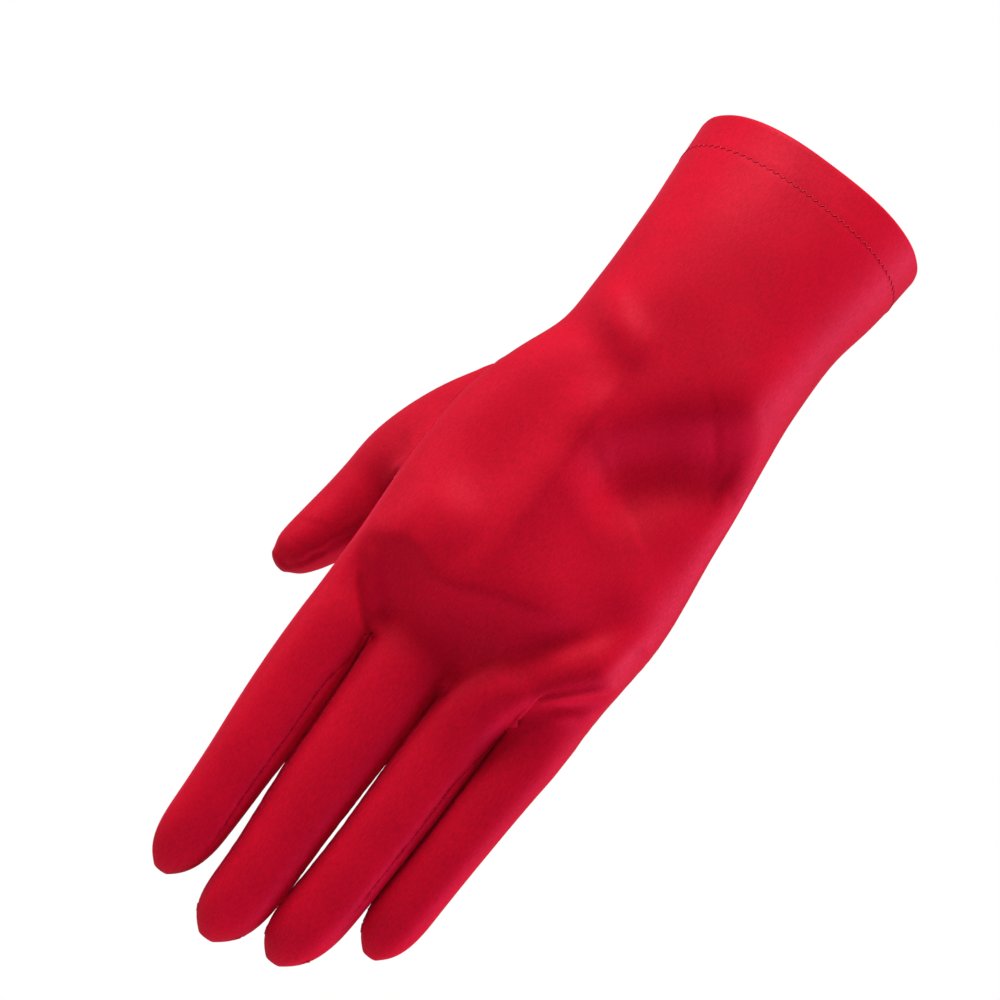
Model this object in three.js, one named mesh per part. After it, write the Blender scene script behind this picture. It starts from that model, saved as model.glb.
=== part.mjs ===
// A wrist length dress glove in red stretch satin, for a left hand, with the form it has when worn.
// Millimetres. The origin is the middle of the wrist opening, and the fingers hang down from it.
// +Z points up the arm, -Y is the back of the hand and +X is the little finger's side.
// The glove is sewn from a hand panel, a thumb, three fourchettes between the fingers and a turned hem.
import * as THREE from 'three';

// Cloth
const clothWall = 1.2;
const hemWall = 2.2;
const seamGap = 0.3;

// Cuff
const rimBreadth = 64;
const rimDepth = 46;
const hemWidth = 9;
const cuffLean = 14;
const wristBreadth = 57.4;
const wristDepth = 40;
const wristDrop = 50;

// Hand
const handBreadth = 74.4;
const handDepth = 28;
const knuckleDrop = 116;
const crotchDrop = 150;

// Fingers, with the gap that is left between two that lie side by side
const fingerGap = 0.7;
const fingerRound = 2.3;
const tipLength = 13;
const crotchDip = 1.2;
// Degrees round a finger's section from its side to the seam at the corner
const seamAngle = 38;
// root is a finger's breadth at the crotches and rise how far its root stands above them. lean carries its
// tip to the right, and turn rolls its right-hand seam to the back by some degrees.
const fingers = [
  { name: 'index', length: 74.2, breadth: 17.7, depth: 15.6, root: 16.9, rise: 0, lean: 2.4, turn: 16 },
  { name: 'middle', length: 80.5, breadth: 18.6, depth: 16.2, root: 21.4, rise: 0, lean: 1.6, turn: 0 },
  { name: 'ring', length: 76.3, breadth: 17.4, depth: 15.6, root: 17.8, rise: 0.6, lean: -1.1, turn: 4 },
  { name: 'little', length: 66.2, breadth: 15, depth: 13.6, root: 15.8, rise: 5.2, lean: -1.9, turn: 0 },
];

// Thumb
const thumbLength = 52;
const thumbBreadth = 20;
const thumbDepth = 19.5;
const thumbSeamDrop = 79;
const thumbSeamLength = 35;
// Degrees that the thumb is rolled towards the palm between its seam and where it hangs free
const thumbRoll = 30;
// How strongly the thumb's cloth curves from its seam, as a share of its way to where it hangs free
const thumbCurve = 0.36;
// How far the thumb's cloth swells out from the hand before it turns down
const thumbSwell = 5.5;

// How finely the cloth is divided into flat facets
const spanSteps = 4;
const sideSteps = 4;
const ringSteps = 2 * (spanSteps + sideSteps);
const bodyRings = 9;
const tipRings = 3;
const hemRows = 2;
const cuffRows = 5;
const wristRows = 4;
const knuckleRows = 7;
const windowColumns = 4;
const windowRows = ringSteps / 2 - windowColumns;
const thumbRootRings = 3;

// Sections from the rim to the knuckles. drop is a share of the drop to the named place, left and right
// are shares of its half breadth, back and palm of its half depth, and shift is of the hand's depth.
// lean is a share of the cuff's lean, and round is the power that squares the section's corners.
const places = {
  rim: { drop: wristDrop, breadth: rimBreadth / 2, depth: rimDepth / 2 },
  wrist: { drop: wristDrop, breadth: wristBreadth / 2, depth: wristDepth / 2 },
  hand: { drop: knuckleDrop, breadth: handBreadth / 2, depth: handDepth / 2 },
};
const sections = [
  { place: 'rim', drop: 0, left: 1.0, right: 1.0, back: 1.0, palm: 1.0, shift: 0, lean: 1, round: 2.3 },
  { place: 'rim', drop: 0.3, left: 0.97, right: 0.955, back: 0.97, palm: 0.97, shift: -0.155, lean: 0.9, round: 2.3 },
  { place: 'rim', drop: 0.6, left: 0.945, right: 0.875, back: 0.9, palm: 0.9, shift: -0.31, lean: 0.6, round: 2.3 },
  { place: 'wrist', drop: 1, left: 1.04, right: 0.965, back: 0.985, palm: 0.985, shift: -0.41, lean: 0.25, round: 2.35 },
  { place: 'hand', drop: 0.53, left: 0.815, right: 0.775, back: 1.3, palm: 1.32, shift: -0.46, lean: 0, round: 2.35 },
  { place: 'hand', drop: 0.64, left: 0.95, right: 0.825, back: 1.18, palm: 1.3, shift: -0.48, lean: 0, round: 2.35 },
  { place: 'hand', drop: 0.76, left: 1.035, right: 0.865, back: 1.08, palm: 1.22, shift: -0.49, lean: 0, round: 2.35 },
  { place: 'hand', drop: 0.88, left: 1.065, right: 0.91, back: 1.03, palm: 1.08, shift: -0.48, lean: 0, round: 2.4 },
  { place: 'hand', drop: 1, left: 1.07, right: 0.94, back: 1.0, palm: 1.0, shift: -0.47, lean: 0, round: 2.4 },
  { place: 'hand', drop: 1.16, left: 1.055, right: 0.92, back: 0.93, palm: 0.92, shift: -0.45, lean: 0, round: 2.4 },
  { place: 'hand', drop: 1.32, left: 1.035, right: 0.895, back: 0.88, palm: 0.85, shift: -0.43, lean: 0, round: 2.4 },
];

// Soft forms of the hand under the cloth: from and to are shares of the hand's breadth across and of the
// crotch drop down, reach is a share of the breadth and push is in shares of the hand's depth.
const forms = [
  { name: 'thumb pad', side: 'palm', x: -0.28, z: 0.66, toX: -0.22, toZ: 0.5, reach: 0.24, push: 0.26 },
  { name: 'heel of the hand', side: 'palm', x: 0.26, z: 0.62, toX: 0.3, toZ: 0.78, reach: 0.19, push: 0.12 },
  { name: 'pads under the fingers', side: 'palm', x: -0.3, z: 0.93, toX: 0.26, toZ: 0.9, reach: 0.13, push: 0.08 },
  { name: 'hollow of the palm', side: 'palm', x: 0.02, z: 0.7, toX: 0.06, toZ: 0.84, reach: 0.15, push: -0.1 },
  { name: 'ridge over the middle bone', side: 'back', x: -0.12, z: 0.52, toX: -0.12, toZ: 0.76, reach: 0.12, push: 0.07 },
  { name: 'wrist bone', side: 'back', x: 0.2, z: 0.33, toX: 0.2, toZ: 0.33, reach: 0.17, push: 0.07 },
  { name: 'hollow under the wrist bone', side: 'back', x: 0.16, z: 0.46, toX: 0.02, toZ: 0.56, reach: 0.13, push: -0.09 },
  { name: 'fold at the wrist', side: 'back', x: -0.34, z: 0.36, toX: -0.18, toZ: 0.4, reach: 0.06, push: 0.07 },
  { name: 'index knuckle', side: 'back', x: -0.36, z: 0.78, toX: -0.3, toZ: 0.78, reach: 0.11, push: 0.05 },
  { name: 'little knuckle', side: 'back', x: 0.26, z: 0.73, toX: 0.3, toZ: 0.73, reach: 0.12, push: 0.05 },
  { name: 'fold to the little crotch', side: 'back', x: 0.4, z: 0.8, toX: 0.26, toZ: 0.89, reach: 0.07, push: 0.05 },
  { name: 'crease at the index crotch', side: 'back', x: -0.42, z: 0.91, toX: -0.31, toZ: 0.97, reach: 0.05, push: -0.08 },
];

// How a finger's breadth and depth fall off along its length, before its tip rounds over
const taper = [
  { along: 0, breadth: 1, depth: 1.04 },
  { along: 0.2, breadth: 0.99, depth: 1 },
  { along: 0.45, breadth: 0.965, depth: 0.97 },
  { along: 0.7, breadth: 0.92, depth: 0.9 },
  { along: 0.85, breadth: 0.88, depth: 0.82 },
  { along: 1, breadth: 0.84, depth: 0.74 },
];
// How far a finger has bent towards the palm, in degrees from straight down
const bend = [
  { along: 0, angle: 4 },
  { along: 0.4, angle: 7 },
  { along: 0.7, angle: 12 },
  { along: 1, angle: 17 },
];

// Thumb sections along its middle line, where it hangs free: x is in shares of the hand's breadth, y of its
// depth and z of the thumb's length below its seam's top; across and deep are shares of its half sizes.
const thumbSections = [
  { x: -0.553, y: 0.3, z: 0.74, across: 1.03, deep: 1.0 },
  { x: -0.57, y: 0.36, z: 0.86, across: 0.95, deep: 0.96 },
  { x: -0.59, y: 0.4, z: 0.97, across: 0.86, deep: 0.91 },
  { x: -0.613, y: 0.43, z: 1.08, across: 0.75, deep: 0.84 },
  { x: -0.635, y: 0.45, z: 1.175, across: 0.62, deep: 0.72 },
  { x: -0.652, y: 0.46, z: 1.25, across: 0.44, deep: 0.52 },
];
const thumbTip = { x: -0.664, y: 0.465, z: 1.31 };

// Colour and finish of the cloth
const satin = { color: 0xc4122a, roughness: 0.42, metalness: 0 };
const hemSatin = { color: 0xc9152e, roughness: 0.42, metalness: 0 };

const radians = THREE.MathUtils.degToRad;
const lerp = THREE.MathUtils.lerp;
const smooth = (t) => THREE.MathUtils.smoothstep(t, 0, 1);

// The value of one column of a table at a place along it, on a smooth curve through its rows
function read(table, key, column, at) {
  let i = 1;
  while (i < table.length - 1 && at > table[i][key]) i += 1;
  const [a, b] = [table[i - 1], table[i]];
  const before = table[i - 2] ?? a;
  const after = table[i + 1] ?? b;
  const width = b[key] - a[key];
  const t = THREE.MathUtils.clamp((at - a[key]) / width, 0, 1);
  const slopeA = ((b[column] - before[column]) / (b[key] - before[key])) * width;
  const slopeB = ((after[column] - a[column]) / (after[key] - a[key])) * width;
  const [t2, t3] = [t * t, t * t * t];
  return (2 * t3 - 3 * t2 + 1) * a[column] + (t3 - 2 * t2 + t) * slopeA
    + (3 * t2 - 2 * t3) * b[column] + (t3 - t2) * slopeB;
}

// Sections of the hand in millimetres
const handSections = sections.map((row) => {
  const place = places[row.place];
  return {
    drop: row.drop * place.drop,
    left: row.left * place.breadth,
    right: row.right * place.breadth,
    back: row.back * place.depth,
    palm: row.palm * place.depth,
    shift: row.shift * handDepth,
    lean: row.lean * cuffLean,
    round: row.round,
  };
});
const section = (column, drop) => read(handSections, 'drop', column, drop);

// Finger roots stand side by side across the hand, from its left edge at the crotches
const rootLeft = -section('left', crotchDrop);
fingers.forEach((finger, i) => {
  finger.left = i ? fingers[i - 1].left + fingers[i - 1].root : rootLeft;
  finger.middle = finger.left + finger.root / 2;
});
const rootMiddleY = section('shift', crotchDrop);
// A finger's first ring lies this far below the deepest point of its root, and it takes its own breadth
// within the blend and its lean by leanEnd, a share of its length
const firstDrop = 3.2;
const rootBlend = 9;
const leanEnd = 0.8;

// How far out a rounded section stands at a place across it, both in shares of its half sizes
const rounded = (across, power) => Math.max(0, 1 - Math.abs(across) ** power) ** (1 / power);

// Angles of a finger's ring, from its back left seam corner along the back, right side, palm and left side
function ringAngles(finger) {
  const corners = [
    180 + seamAngle,
    360 - seamAngle - finger.turn,
    360 + seamAngle,
    540 - seamAngle,
    540 + seamAngle,
  ];
  const steps = [spanSteps, sideSteps, spanSteps, sideSteps];
  return steps.flatMap((count, i) => Array.from(
    { length: count },
    (_, k) => radians(lerp(corners[i], corners[i + 1], k / count)),
  ));
}

function roundedPoint(angle, halfBreadth, halfDepth) {
  const [c, s] = [Math.cos(angle), Math.sin(angle)];
  return [
    halfBreadth * Math.sign(c) * Math.abs(c) ** (2 / fingerRound),
    halfDepth * Math.sign(s) * Math.abs(s) ** (2 / fingerRound),
  ];
}

// The glove's surface, as points and four-sided faces that each belong to a piece
const points = [];
const faces = [];
function addPoint(x, y, z) {
  points.push(new THREE.Vector3(x, y, z));
  return points.length - 1;
}
function addFace(piece, ...corners) {
  faces.push({ piece, corners });
}
// Joins two rings of as many points with a band of faces
function addBand(upper, lower, pieceAt) {
  upper.forEach((_, k) => {
    const next = (k + 1) % upper.length;
    addFace(pieceAt(k), upper[k], lower[k], lower[next], upper[next]);
  });
}
// Closes a ring over a tip with a square grid of faces that bulges to the tip
function addCap(piece, ring, tip) {
  const n = ring.length / 4;
  const middle = ring.reduce((sum, i) => sum.add(points[i]), new THREE.Vector3()).divideScalar(ring.length);
  const edge = (i, j) => {
    if (j === 0) return ring[i];
    if (i === n) return ring[n + j];
    if (j === n) return ring[3 * n - i];
    return ring[(4 * n - j) % (4 * n)];
  };
  const grid = [];
  for (let j = 0; j <= n; j += 1) {
    for (let i = 0; i <= n; i += 1) {
      if (i % n === 0 || j % n === 0) {
        grid.push(edge(i, j));
      } else {
        const across = points[edge(0, j)].clone().lerp(points[edge(n, j)], i / n);
        const down = points[edge(i, 0)].clone().lerp(points[edge(i, n)], j / n);
        const inset = Math.max(Math.abs(2 * i / n - 1), Math.abs(2 * j / n - 1));
        const p = across.add(down).multiplyScalar(0.5).lerp(middle, 0.12 * (1 - inset));
        p.addScaledVector(tip.clone().sub(middle), Math.sqrt(1 - inset * inset));
        grid.push(addPoint(p.x, p.y, p.z));
      }
    }
  }
  const at = (i, j) => grid[j * (n + 1) + i];
  for (let j = 0; j < n; j += 1) {
    for (let i = 0; i < n; i += 1) addFace(piece, at(i, j), at(i, j + 1), at(i + 1, j + 1), at(i + 1, j));
  }
}

// Hand: rings of points from the rim to the crotches. Each ring runs along the back from left to right,
// down the right side, along the palm from right to left and up the left side.
const backCount = fingers.length * spanSteps;
const handCount = 2 * (backCount + sideSteps);
const crotchRing = [];
fingers.forEach((finger, i) => {
  const last = i === fingers.length - 1;
  const angles = ringAngles(finger);
  const cornerLeft = i ? -1 : roundedPoint(angles[0], 1, 1)[0];
  const cornerRight = last ? roundedPoint(angles[spanSteps], 1, 1)[0] : 1;
  finger.angles = angles;
  for (let k = 0; k < spanSteps + (last ? 1 : 0); k += 1) {
    const across = lerp(cornerLeft, cornerRight, k / spanSteps);
    crotchRing[i * spanSteps + k] = { finger, across, side: -1 };
    crotchRing[2 * backCount + sideSteps - i * spanSteps - k] = { finger, across, side: 1 };
  }
});
for (let k = 1; k < sideSteps; k += 1) {
  const [first, last] = [fingers[0], fingers[fingers.length - 1]];
  crotchRing[backCount + k] = { finger: last, angle: last.angles[spanSteps + k] };
  crotchRing[2 * backCount + sideSteps + k] = { finger: first, angle: first.angles[2 * spanSteps + sideSteps + k] };
}

// Where a point of the hand's ring lies beside the finger roots, before its height is set
function rootPoint({ finger, across, side, angle }) {
  const half = finger.root / 2;
  const depth = finger.depth / 2 * taper[0].depth;
  if (angle !== undefined) {
    const [x, y] = roundedPoint(angle, half, depth);
    return { x: finger.middle + x, y: rootMiddleY + y };
  }
  const edge = Math.abs(across) < 1 ? rounded(across, fingerRound) : 0;
  return { x: finger.middle + across * half, y: rootMiddleY + side * depth * Math.max(edge, 0.5) };
}
const rootX = crotchRing.map((place) => rootPoint(place).x);
const rootHalf = (rootX[backCount + sideSteps / 2] - rootX[handCount - sideSteps / 2]) / 2;
const rootCentre = (rootX[backCount + sideSteps / 2] + rootX[handCount - sideSteps / 2]) / 2;

// How far each column of the ring rises above the middle finger's crotch, which is lowest
function riseAt(k) {
  const x = rootX[k];
  const at = fingers.map((finger) => ({ x: finger.middle, rise: finger.rise }));
  return read(at, 'x', 'rise', THREE.MathUtils.clamp(x, at[0].x, at[at.length - 1].x));
}

// Push of the forms under the cloth at a point of the back or the palm
function formPush(x, z, outward) {
  let push = 0;
  forms.forEach((form) => {
    const facing = form.side === 'palm' ? outward : -outward;
    if (facing <= 0) return;
    const a = new THREE.Vector2(form.x * handBreadth, -form.z * crotchDrop);
    const b = new THREE.Vector2(form.toX * handBreadth, -form.toZ * crotchDrop);
    const along = b.clone().sub(a);
    const p = new THREE.Vector2(x, z);
    const t = THREE.MathUtils.clamp(p.clone().sub(a).dot(along) / (along.lengthSq() || 1), 0, 1);
    const away = p.distanceTo(a.addScaledVector(along, t)) / (form.reach * handBreadth);
    push += form.push * handDepth * Math.exp(-away * away * 1.6) * Math.min(1, facing * 1.6);
  });
  return push;
}

function handPoint(k, drop) {
  const left = section('left', drop);
  const right = section('right', drop);
  const centre = (right - left) / 2;
  const breadth = (right + left) / 2;
  const power = section('round', drop);
  const across = THREE.MathUtils.clamp((rootX[k] - rootCentre) / rootHalf, -1, 1);
  const palm = k > backCount + sideSteps / 2 && k < handCount - sideSteps / 2;
  const outward = (palm ? 1 : -1) * rounded(across, power);
  const depth = section(palm ? 'palm' : 'back', drop);
  const lean = radians(section('lean', drop));
  const y = outward * depth;
  const blend = smooth((drop - knuckleDrop) / (crotchDrop - knuckleDrop));
  const lift = smooth((drop - wristDrop) / (crotchDrop - wristDrop)) * riseAt(k);
  const root = rootPoint(crotchRing[k]);
  const p = new THREE.Vector3(
    lerp(centre + across * breadth, root.x, blend),
    lerp(section('shift', drop) + y * Math.cos(lean), root.y, blend),
    -drop - y * Math.sin(lean) + lift,
  );
  p.y += Math.sign(outward) * formPush(p.x, p.z - lift, outward);
  return p;
}

// Drops of the rows, closer together where the thumb is sewn in and near the crotches
const dropRows = [];
function addRows(from, to, count) {
  for (let i = 0; i < count; i += 1) dropRows.push(lerp(from, to, i / count));
}
addRows(0, hemWidth, hemRows);
addRows(hemWidth, wristDrop, cuffRows);
addRows(wristDrop, thumbSeamDrop, wristRows);
addRows(thumbSeamDrop, thumbSeamDrop + thumbSeamLength, windowRows);
addRows(thumbSeamDrop + thumbSeamLength, crotchDrop, knuckleRows);
dropRows.push(crotchDrop);
const handRings = dropRows.map((drop) => rootX.map((_, k) => {
  const p = handPoint(k, drop);
  return addPoint(p.x, p.y, p.z);
}));

// The thumb is sewn into a window in the rings, from near the left edge onto the palm
const topRow = hemRows + cuffRows + wristRows;
const bottomRow = topRow + windowRows;
const leftColumn = handCount - sideSteps / 2;
const palmColumn = leftColumn - windowColumns;
for (let row = 0; row < handRings.length - 1; row += 1) {
  const piece = row < hemRows ? 'cuff_hem' : 'hand_panel';
  const inRows = row >= topRow && row < bottomRow;
  for (let k = 0; k < handCount; k += 1) {
    const next = (k + 1) % handCount;
    if (!(inRows && k >= palmColumn && k < leftColumn)) {
      addFace(piece, handRings[row][k], handRings[row + 1][k], handRings[row + 1][next], handRings[row][next]);
    }
  }
}

// Crotches: a short web of points from the back to the palm between each two fingers
const crotch = handRings[handRings.length - 1];
const webs = fingers.slice(1).map((finger, i) => {
  const back = crotch[(i + 1) * spanSteps];
  const palm = crotch[2 * backCount + sideSteps - (i + 1) * spanSteps];
  const web = [back];
  for (let k = 1; k < sideSteps; k += 1) {
    const t = k / sideSteps;
    const p = points[back].clone().lerp(points[palm], t);
    web.push(addPoint(p.x, p.y, p.z - crotchDip * Math.sin(Math.PI * t)));
  }
  web.push(palm);
  return web;
});

// A finger's middle line bends towards the palm as it goes down, and leans to one side
function fingerLine(finger, along) {
  const steps = 24;
  const step = along * finger.length / steps;
  let [y, z] = [rootMiddleY, finger.rise - crotchDrop];
  for (let s = 0; s < steps; s += 1) {
    const angle = radians(read(bend, 'along', 'angle', along * (s + 0.5) / steps));
    y += Math.sin(angle) * step;
    z -= Math.cos(angle) * step;
  }
  const x = finger.middle + finger.lean * smooth(along / leanEnd);
  return { x, y, z, angle: radians(read(bend, 'along', 'angle', along)) };
}

// Fingers: rings from the crotches to the tips. Their back and palm belong to the hand panel, and each
// side that faces another finger belongs to the fourchette between the two.
fingers.forEach((finger, i) => {
  const start = i * spanSteps;
  const leftSide = i ? webs[i - 1] : null;
  const rightSide = i < webs.length ? webs[i] : null;
  const root = [];
  for (let k = 0; k < spanSteps; k += 1) root.push(crotch[start + k]);
  for (let k = 0; k < sideSteps; k += 1) root.push(rightSide ? rightSide[k] : crotch[backCount + k]);
  const palmStart = 2 * backCount + sideSteps - start - spanSteps;
  for (let k = 0; k < spanSteps; k += 1) root.push(crotch[palmStart + k]);
  for (let k = 0; k < sideSteps; k += 1) {
    root.push(leftSide ? leftSide[sideSteps - k] : crotch[2 * backCount + sideSteps + k]);
  }
  const deepest = Math.min(...root.map((k) => points[k].z));
  const first = (finger.rise - crotchDrop - deepest + firstDrop) / finger.length;
  const bodyEnd = 1 - tipLength / finger.length;
  const stations = [];
  for (let r = 0; r < bodyRings; r += 1) {
    stations.push({ along: lerp(first, bodyEnd, r / (bodyRings - 1)), full: 1 });
  }
  for (let r = 1; r <= tipRings; r += 1) {
    const turn = r / (tipRings + 0.7) * Math.PI / 2;
    stations.push({ along: lerp(bodyEnd, 1, Math.sin(turn)), full: Math.cos(turn) });
  }
  let upper = root;
  stations.forEach(({ along, full }, r) => {
    const centre = fingerLine(finger, along);
    const clear = smooth(along * finger.length / rootBlend);
    const half = lerp(finger.root - fingerGap, finger.breadth, clear) / 2;
    const breadth = half * read(taper, 'along', 'breadth', along);
    const depth = finger.depth / 2 * read(taper, 'along', 'depth', along);
    const lower = finger.angles.map((angle) => {
      const [x, y] = roundedPoint(angle, breadth * full, depth * full);
      return addPoint(centre.x + x, centre.y + y * Math.cos(centre.angle), centre.z + y * Math.sin(centre.angle));
    });
    const seamEnds = r >= stations.length - 2;
    addBand(upper, lower, (k) => {
      const onRight = k >= spanSteps && k < spanSteps + sideSteps;
      const onLeft = k >= 2 * spanSteps + sideSteps;
      if (seamEnds) return 'hand_panel';
      if (onRight && rightSide) return `fourchette_${finger.name}_${fingers[i + 1].name}`;
      if (onLeft && leftSide) return `fourchette_${fingers[i - 1].name}_${finger.name}`;
      return 'hand_panel';
    });
    upper = lower;
  });
  const tip = fingerLine(finger, 1);
  addCap('hand_panel', upper, new THREE.Vector3(tip.x, tip.y, tip.z));
});

// Thumb: free rings down its middle line, and root rings that curve to them from the window's edge
const windowRing = [];
for (let k = palmColumn; k < leftColumn; k += 1) windowRing.push(handRings[topRow][k]);
for (let row = topRow; row < bottomRow; row += 1) windowRing.push(handRings[row][leftColumn]);
for (let k = leftColumn; k > palmColumn; k -= 1) windowRing.push(handRings[bottomRow][k]);
for (let row = bottomRow; row > topRow; row -= 1) windowRing.push(handRings[row][palmColumn]);

const thumbPlace = ({ x, y, z }) => new THREE.Vector3(
  x * handBreadth,
  y * handDepth,
  -thumbSeamDrop - z * thumbLength,
);
const thumbLine = [...thumbSections, thumbTip].map(thumbPlace);
const thumbOuter = new THREE.Vector3(-1, 0, 1).normalize();
const thumbAway = new THREE.Vector3(-1, 0, 0);
const ringTurn = 360 / ringSteps;
const firstAngle = 90 - thumbRoll - windowColumns / 2 * ringTurn;
function thumbForward(i) {
  return thumbLine[i + 1].clone().sub(thumbLine[Math.max(0, i - 1)]).normalize();
}
function thumbRing({ across, deep }, i) {
  const forward = thumbForward(i);
  const up = thumbOuter.clone().addScaledVector(forward, -thumbOuter.dot(forward)).normalize();
  const side = forward.clone().cross(up);
  return windowRing.map((_, k) => {
    const angle = radians(firstAngle + k * ringTurn);
    return thumbLine[i].clone()
      .addScaledVector(side, Math.cos(angle) * deep * thumbDepth / 2)
      .addScaledVector(up, Math.sin(angle) * across * thumbBreadth / 2);
  });
}
const freeRings = thumbSections.map(thumbRing);
const rootRings = Array.from({ length: thumbRootRings }, (_, r) => {
  const t = (r + 1) / (thumbRootRings + 1);
  return freeRings[0].map((end, k) => {
    const start = points[windowRing[k]];
    const reach = thumbCurve * start.distanceTo(end);
    const control = end.clone().addScaledVector(thumbForward(0), -reach).addScaledVector(thumbAway, thumbSwell);
    return new THREE.QuadraticBezierCurve3(start, control, end).getPoint(t);
  });
});
let thumbUpper = windowRing;
[...rootRings, ...freeRings].forEach((ring) => {
  const lower = ring.map((p) => addPoint(p.x, p.y, p.z));
  addBand(thumbUpper, lower, () => 'thumb');
  thumbUpper = lower;
});
addCap('thumb', thumbUpper, thumbLine[thumbLine.length - 1]);

// Outward direction of the cloth at each point, the mean of the faces that meet there
const normals = points.map(() => new THREE.Vector3());
faces.forEach(({ corners }) => {
  const [a, b, c, d] = corners.map((i) => points[i]);
  const normal = c.clone().sub(a).cross(d.clone().sub(b)).normalize();
  corners.forEach((i) => normals[i].add(normal));
});
normals.forEach((normal) => normal.normalize());

// Edges of a piece, each with the cloth on its left, by the point that they start from
function pieceEdges(own) {
  const edges = new Map();
  own.forEach(({ corners }) => corners.forEach((a, i) => {
    const b = corners[(i + 1) % corners.length];
    if (!edges.delete(`${b} ${a}`)) edges.set(`${a} ${b}`, [a, b]);
  }));
  return [...edges.values()];
}

// How far a point on an edge moves into its own piece, to keep the seam's gap from both its edges
function seamShift(before, at, after) {
  const into = [[before, at], [at, after]].map(([a, b]) => {
    const along = points[b].clone().sub(points[a]);
    return normals[at].clone().cross(along).normalize();
  });
  const spread = Math.max(0.3, 1 + into[0].dot(into[1]));
  return into[0].add(into[1]).multiplyScalar(seamGap / 2 / spread);
}

// One piece as a wall: its outer face, the same face set inwards by the wall, and the edges between
function wallGeometry(piece, wall) {
  const own = faces.filter((face) => face.piece === piece);
  const edges = pieceEdges(own);
  const after = new Map(edges);
  const before = new Map(edges.map(([a, b]) => [b, a]));
  const onRim = new Set(handRings[0]);
  const vertex = new Map();
  const positions = [];
  own.forEach(({ corners }) => corners.forEach((i) => {
    if (vertex.has(i)) return;
    vertex.set(i, positions.length / 6);
    const outer = points[i].clone();
    if (after.has(i) && !onRim.has(i)) outer.add(seamShift(before.get(i), i, after.get(i)));
    const inner = outer.clone().addScaledVector(normals[i], -wall);
    positions.push(...outer.toArray(), ...inner.toArray());
  }));
  const outside = (i) => 2 * vertex.get(i);
  const inside = (i) => 2 * vertex.get(i) + 1;
  const index = [];
  own.forEach(({ corners: [a, b, c, d] }) => {
    index.push(outside(a), outside(b), outside(c), outside(a), outside(c), outside(d));
    index.push(inside(a), inside(c), inside(b), inside(a), inside(d), inside(c));
  });
  edges.forEach(([a, b]) => {
    if (a < b) {
      index.push(outside(b), outside(a), inside(a), outside(b), inside(a), inside(b));
    } else {
      index.push(outside(b), outside(a), inside(b), outside(a), inside(a), inside(b));
    }
  });
  const geometry = new THREE.BufferGeometry();
  geometry.setAttribute('position', new THREE.Float32BufferAttribute(positions, 3));
  geometry.setIndex(index);
  geometry.computeVertexNormals();
  return geometry;
}

const glove = new THREE.Group();
function addPiece(name, wall, look) {
  const mesh = new THREE.Mesh(wallGeometry(name, wall), new THREE.MeshStandardMaterial(look));
  mesh.name = name;
  glove.add(mesh);
}
addPiece('hand_panel', clothWall, satin);
addPiece('thumb', clothWall, satin);
fingers.slice(1).forEach((finger, i) => {
  addPiece(`fourchette_${fingers[i].name}_${finger.name}`, clothWall, satin);
});
addPiece('cuff_hem', hemWall, hemSatin);

export default glove;
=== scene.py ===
"""A wrist length dress glove in red stretch satin: its cloth, seams, hem and stitches, on a plain stage.

Lengths are metres, given in millimetres times MM. +Z points up the arm, -Y is the back of the hand and +X
the little finger's side. The cloth is one cage of rings, smoothed, then cut along its seams into its pieces.
"""
import math

import bmesh
import bpy
import numpy as np
from mathutils import Matrix, Vector, kdtree, noise


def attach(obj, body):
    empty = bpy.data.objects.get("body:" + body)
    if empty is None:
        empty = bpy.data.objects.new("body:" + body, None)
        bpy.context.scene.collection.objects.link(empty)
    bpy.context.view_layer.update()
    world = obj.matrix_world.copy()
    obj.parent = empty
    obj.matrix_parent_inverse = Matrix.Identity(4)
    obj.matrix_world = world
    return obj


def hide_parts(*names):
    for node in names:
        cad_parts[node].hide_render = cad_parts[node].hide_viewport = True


bl_info = {
    "name": "Dress Glove",
    "version": (1, 0, 0),
    "blender": (4, 5, 0),
    "location": "View3D > Sidebar > Dress Glove",
    "description": "Sews a wrist length dress glove from its panels",
    "category": "Add Mesh",
}

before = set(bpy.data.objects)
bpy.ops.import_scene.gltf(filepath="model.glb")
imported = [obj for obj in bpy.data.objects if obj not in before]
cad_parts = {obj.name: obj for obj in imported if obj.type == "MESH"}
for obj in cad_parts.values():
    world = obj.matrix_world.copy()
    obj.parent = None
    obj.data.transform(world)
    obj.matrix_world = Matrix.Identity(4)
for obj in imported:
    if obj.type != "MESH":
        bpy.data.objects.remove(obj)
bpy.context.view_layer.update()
MM = 0.001

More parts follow.
